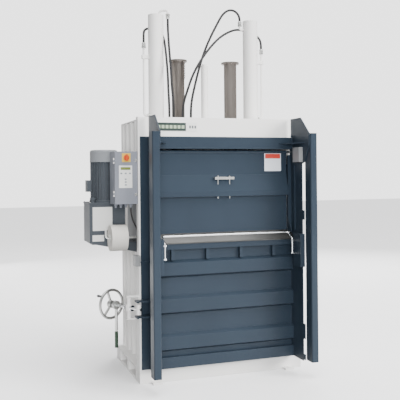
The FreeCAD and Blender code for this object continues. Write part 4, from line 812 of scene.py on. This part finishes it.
LOCK = [(0, 0), (0.011, 0), (0.011, 0.0025), (0.0095, 0.004), (0.004, 0.004), (0.004, 0.002), (0, 0.002)]
locks = [stood(turned(LOCK), (-0.712, DOOR_FACE, z), FORWARD) for z in (1.480, 1.745)]
piece("cabinet_locks", locks, zinc_plate, "cabinet_door")

# %% [markdown]
# The motor's rating tag is a small yellow film bent round the casing. A flat plate grid bends by
# reading its width as an arc: angle = start + x / r, and its thickness as extra radius.

# %% Motor tag
MOTOR_AXIS = np.array((-0.885, -0.001))
TAG_RADIUS, TAG_ANGLE, TAG_MIDDLE = 0.1125, math.radians(-51), 1.700
flat_tag = plate(0.024, 0.060, 0.0010, 0.002)         # width runs round the casing, height stands up
bend = TAG_ANGLE + flat_tag[..., 0] / TAG_RADIUS
reach = TAG_RADIUS + flat_tag[..., 2]
tag = np.stack([MOTOR_AXIS[0] + reach * np.cos(bend), MOTOR_AXIS[1] + reach * np.sin(bend),
                TAG_MIDDLE + flat_tag[..., 1]], axis=-1)
piece("motor_tag", [tag], yellow_film, "frame")

# %% [markdown]
# Plates are joined by stitches of weld. A bead is a rod laid in the corner, its radius swelling
# at each ripple of the torch: r (1 + 0.16 |sin(pi s / pitch)|), where s is the distance along it.

# %% Weld beads
def bead(start, end, radius=0.0035, pitch=0.0055):
    """One rippled stitch from start to end, thinned at both ends."""
    start, end = np.array(start, float), np.array(end, float)
    length = np.linalg.norm(end - start)
    steps = int(length / (pitch / 3)) + 2
    along = np.linspace(0, length, steps)
    ripple = 1 + 0.16 * np.abs(np.sin(math.pi * along / pitch))
    taper = np.sqrt(np.clip(np.minimum(along, length - along) / (2 * radius), 0.04, 1))
    direction = (end - start) / length
    flat = (0, 0, 1) if abs(direction[2]) < 0.5 else (1, 0, 0)
    return bar(start + direction * along[:, None], radius * ripple * taper, flat, 6)


def stitches(start, end, count, length):
    """Short beads evenly spaced between two points."""
    start, end = np.array(start, float), np.array(end, float)
    reach = (end - start) / np.linalg.norm(end - start) * length / 2
    middles = [start + (end - start) * (i + 0.5) / count for i in range(count)]
    return [bead(middle - reach, middle + reach) for middle in middles]


SKIN_FACE, SIDE_FACE = FRONT - 0.014, 0.609             # the door skin and the inner side plates
BANDS = ((0.243, 0.381), (0.532, 0.676), (0.820, 0.958))
BEAD_CLEAR = 0.01               # between an upright bead and the bands above and below it
BEAM_BEAD_Y, BEAM_LOW, BEAM_HIGH = FRONT - 0.060, 1.850, 1.928
door_beads = []
for low, high in BANDS:
    for z in (low, high):
        door_beads += stitches((-SIDE_FACE, SKIN_FACE, z), (SIDE_FACE, SKIN_FACE, z), 5, 0.060)
for (_, low), (high, _) in zip(BANDS, BANDS[1:]):
    for x in (-SIDE_FACE, SIDE_FACE):
        door_beads.append(bead((x, SKIN_FACE, low + BEAD_CLEAR), (x, SKIN_FACE, high - BEAD_CLEAR)))
for x in (-SIDE_FACE, SIDE_FACE):
    door_beads.append(bead((x, BEAM_BEAD_Y, BEAM_LOW), (x, BEAM_BEAD_Y, BEAM_HIGH)))
piece("door_welds", door_beads, blue_paint, "door", crease=80)
WALL_FACE, RIB_HALF, RIB_COUNT = 0.608, 0.022, 4
FRAME_DEPTH, COLUMN_DEPTH = 0.842, 0.060
RIB_MARGIN = 0.8                # pitches from a column to the nearest rib's middle
RIB_SEAM_LOW, RIB_SEAM_HIGH = 0.16, 2.04
rib_pitch = (FRAME_DEPTH - 2 * COLUMN_DEPTH) / (RIB_COUNT - 1 + 2 * RIB_MARGIN)
rib_beads = []
for i in range(RIB_COUNT):
    middle = FRONT + COLUMN_DEPTH + rib_pitch * (i + RIB_MARGIN)
    for y in (middle - RIB_HALF, middle + RIB_HALF):
        for x in (-WALL_FACE, WALL_FACE):
            rib_beads += stitches((x, y, RIB_SEAM_LOW), (x, y, RIB_SEAM_HIGH), 6, 0.050)
piece("rib_welds", rib_beads, light_paint, "frame", crease=80)

# %% [markdown]
# The floor is plain and pale. It belongs to the stage, not to the machine.

# %% Floor
floor_finish = Finish("floor_paint")
speckle = noise(floor_finish, 3.0, 3.0)
floor_tone = blend_colours(floor_finish, speckle, (0.90, 0.90, 0.91, 1), (0.94, 0.94, 0.945, 1))
floor_finish.set(Base_Color=floor_tone, Roughness=0.7)
bpy.ops.mesh.primitive_plane_add(size=60, location=(0, 0, -0.0005))
floor = bpy.context.object
floor.name = "floor"
floor.data.materials.append(floor_finish.material)
floor.visible_diffuse = False    # the floor is seen and mirrored, but throws no light on the sides
print("floor", floor.name)
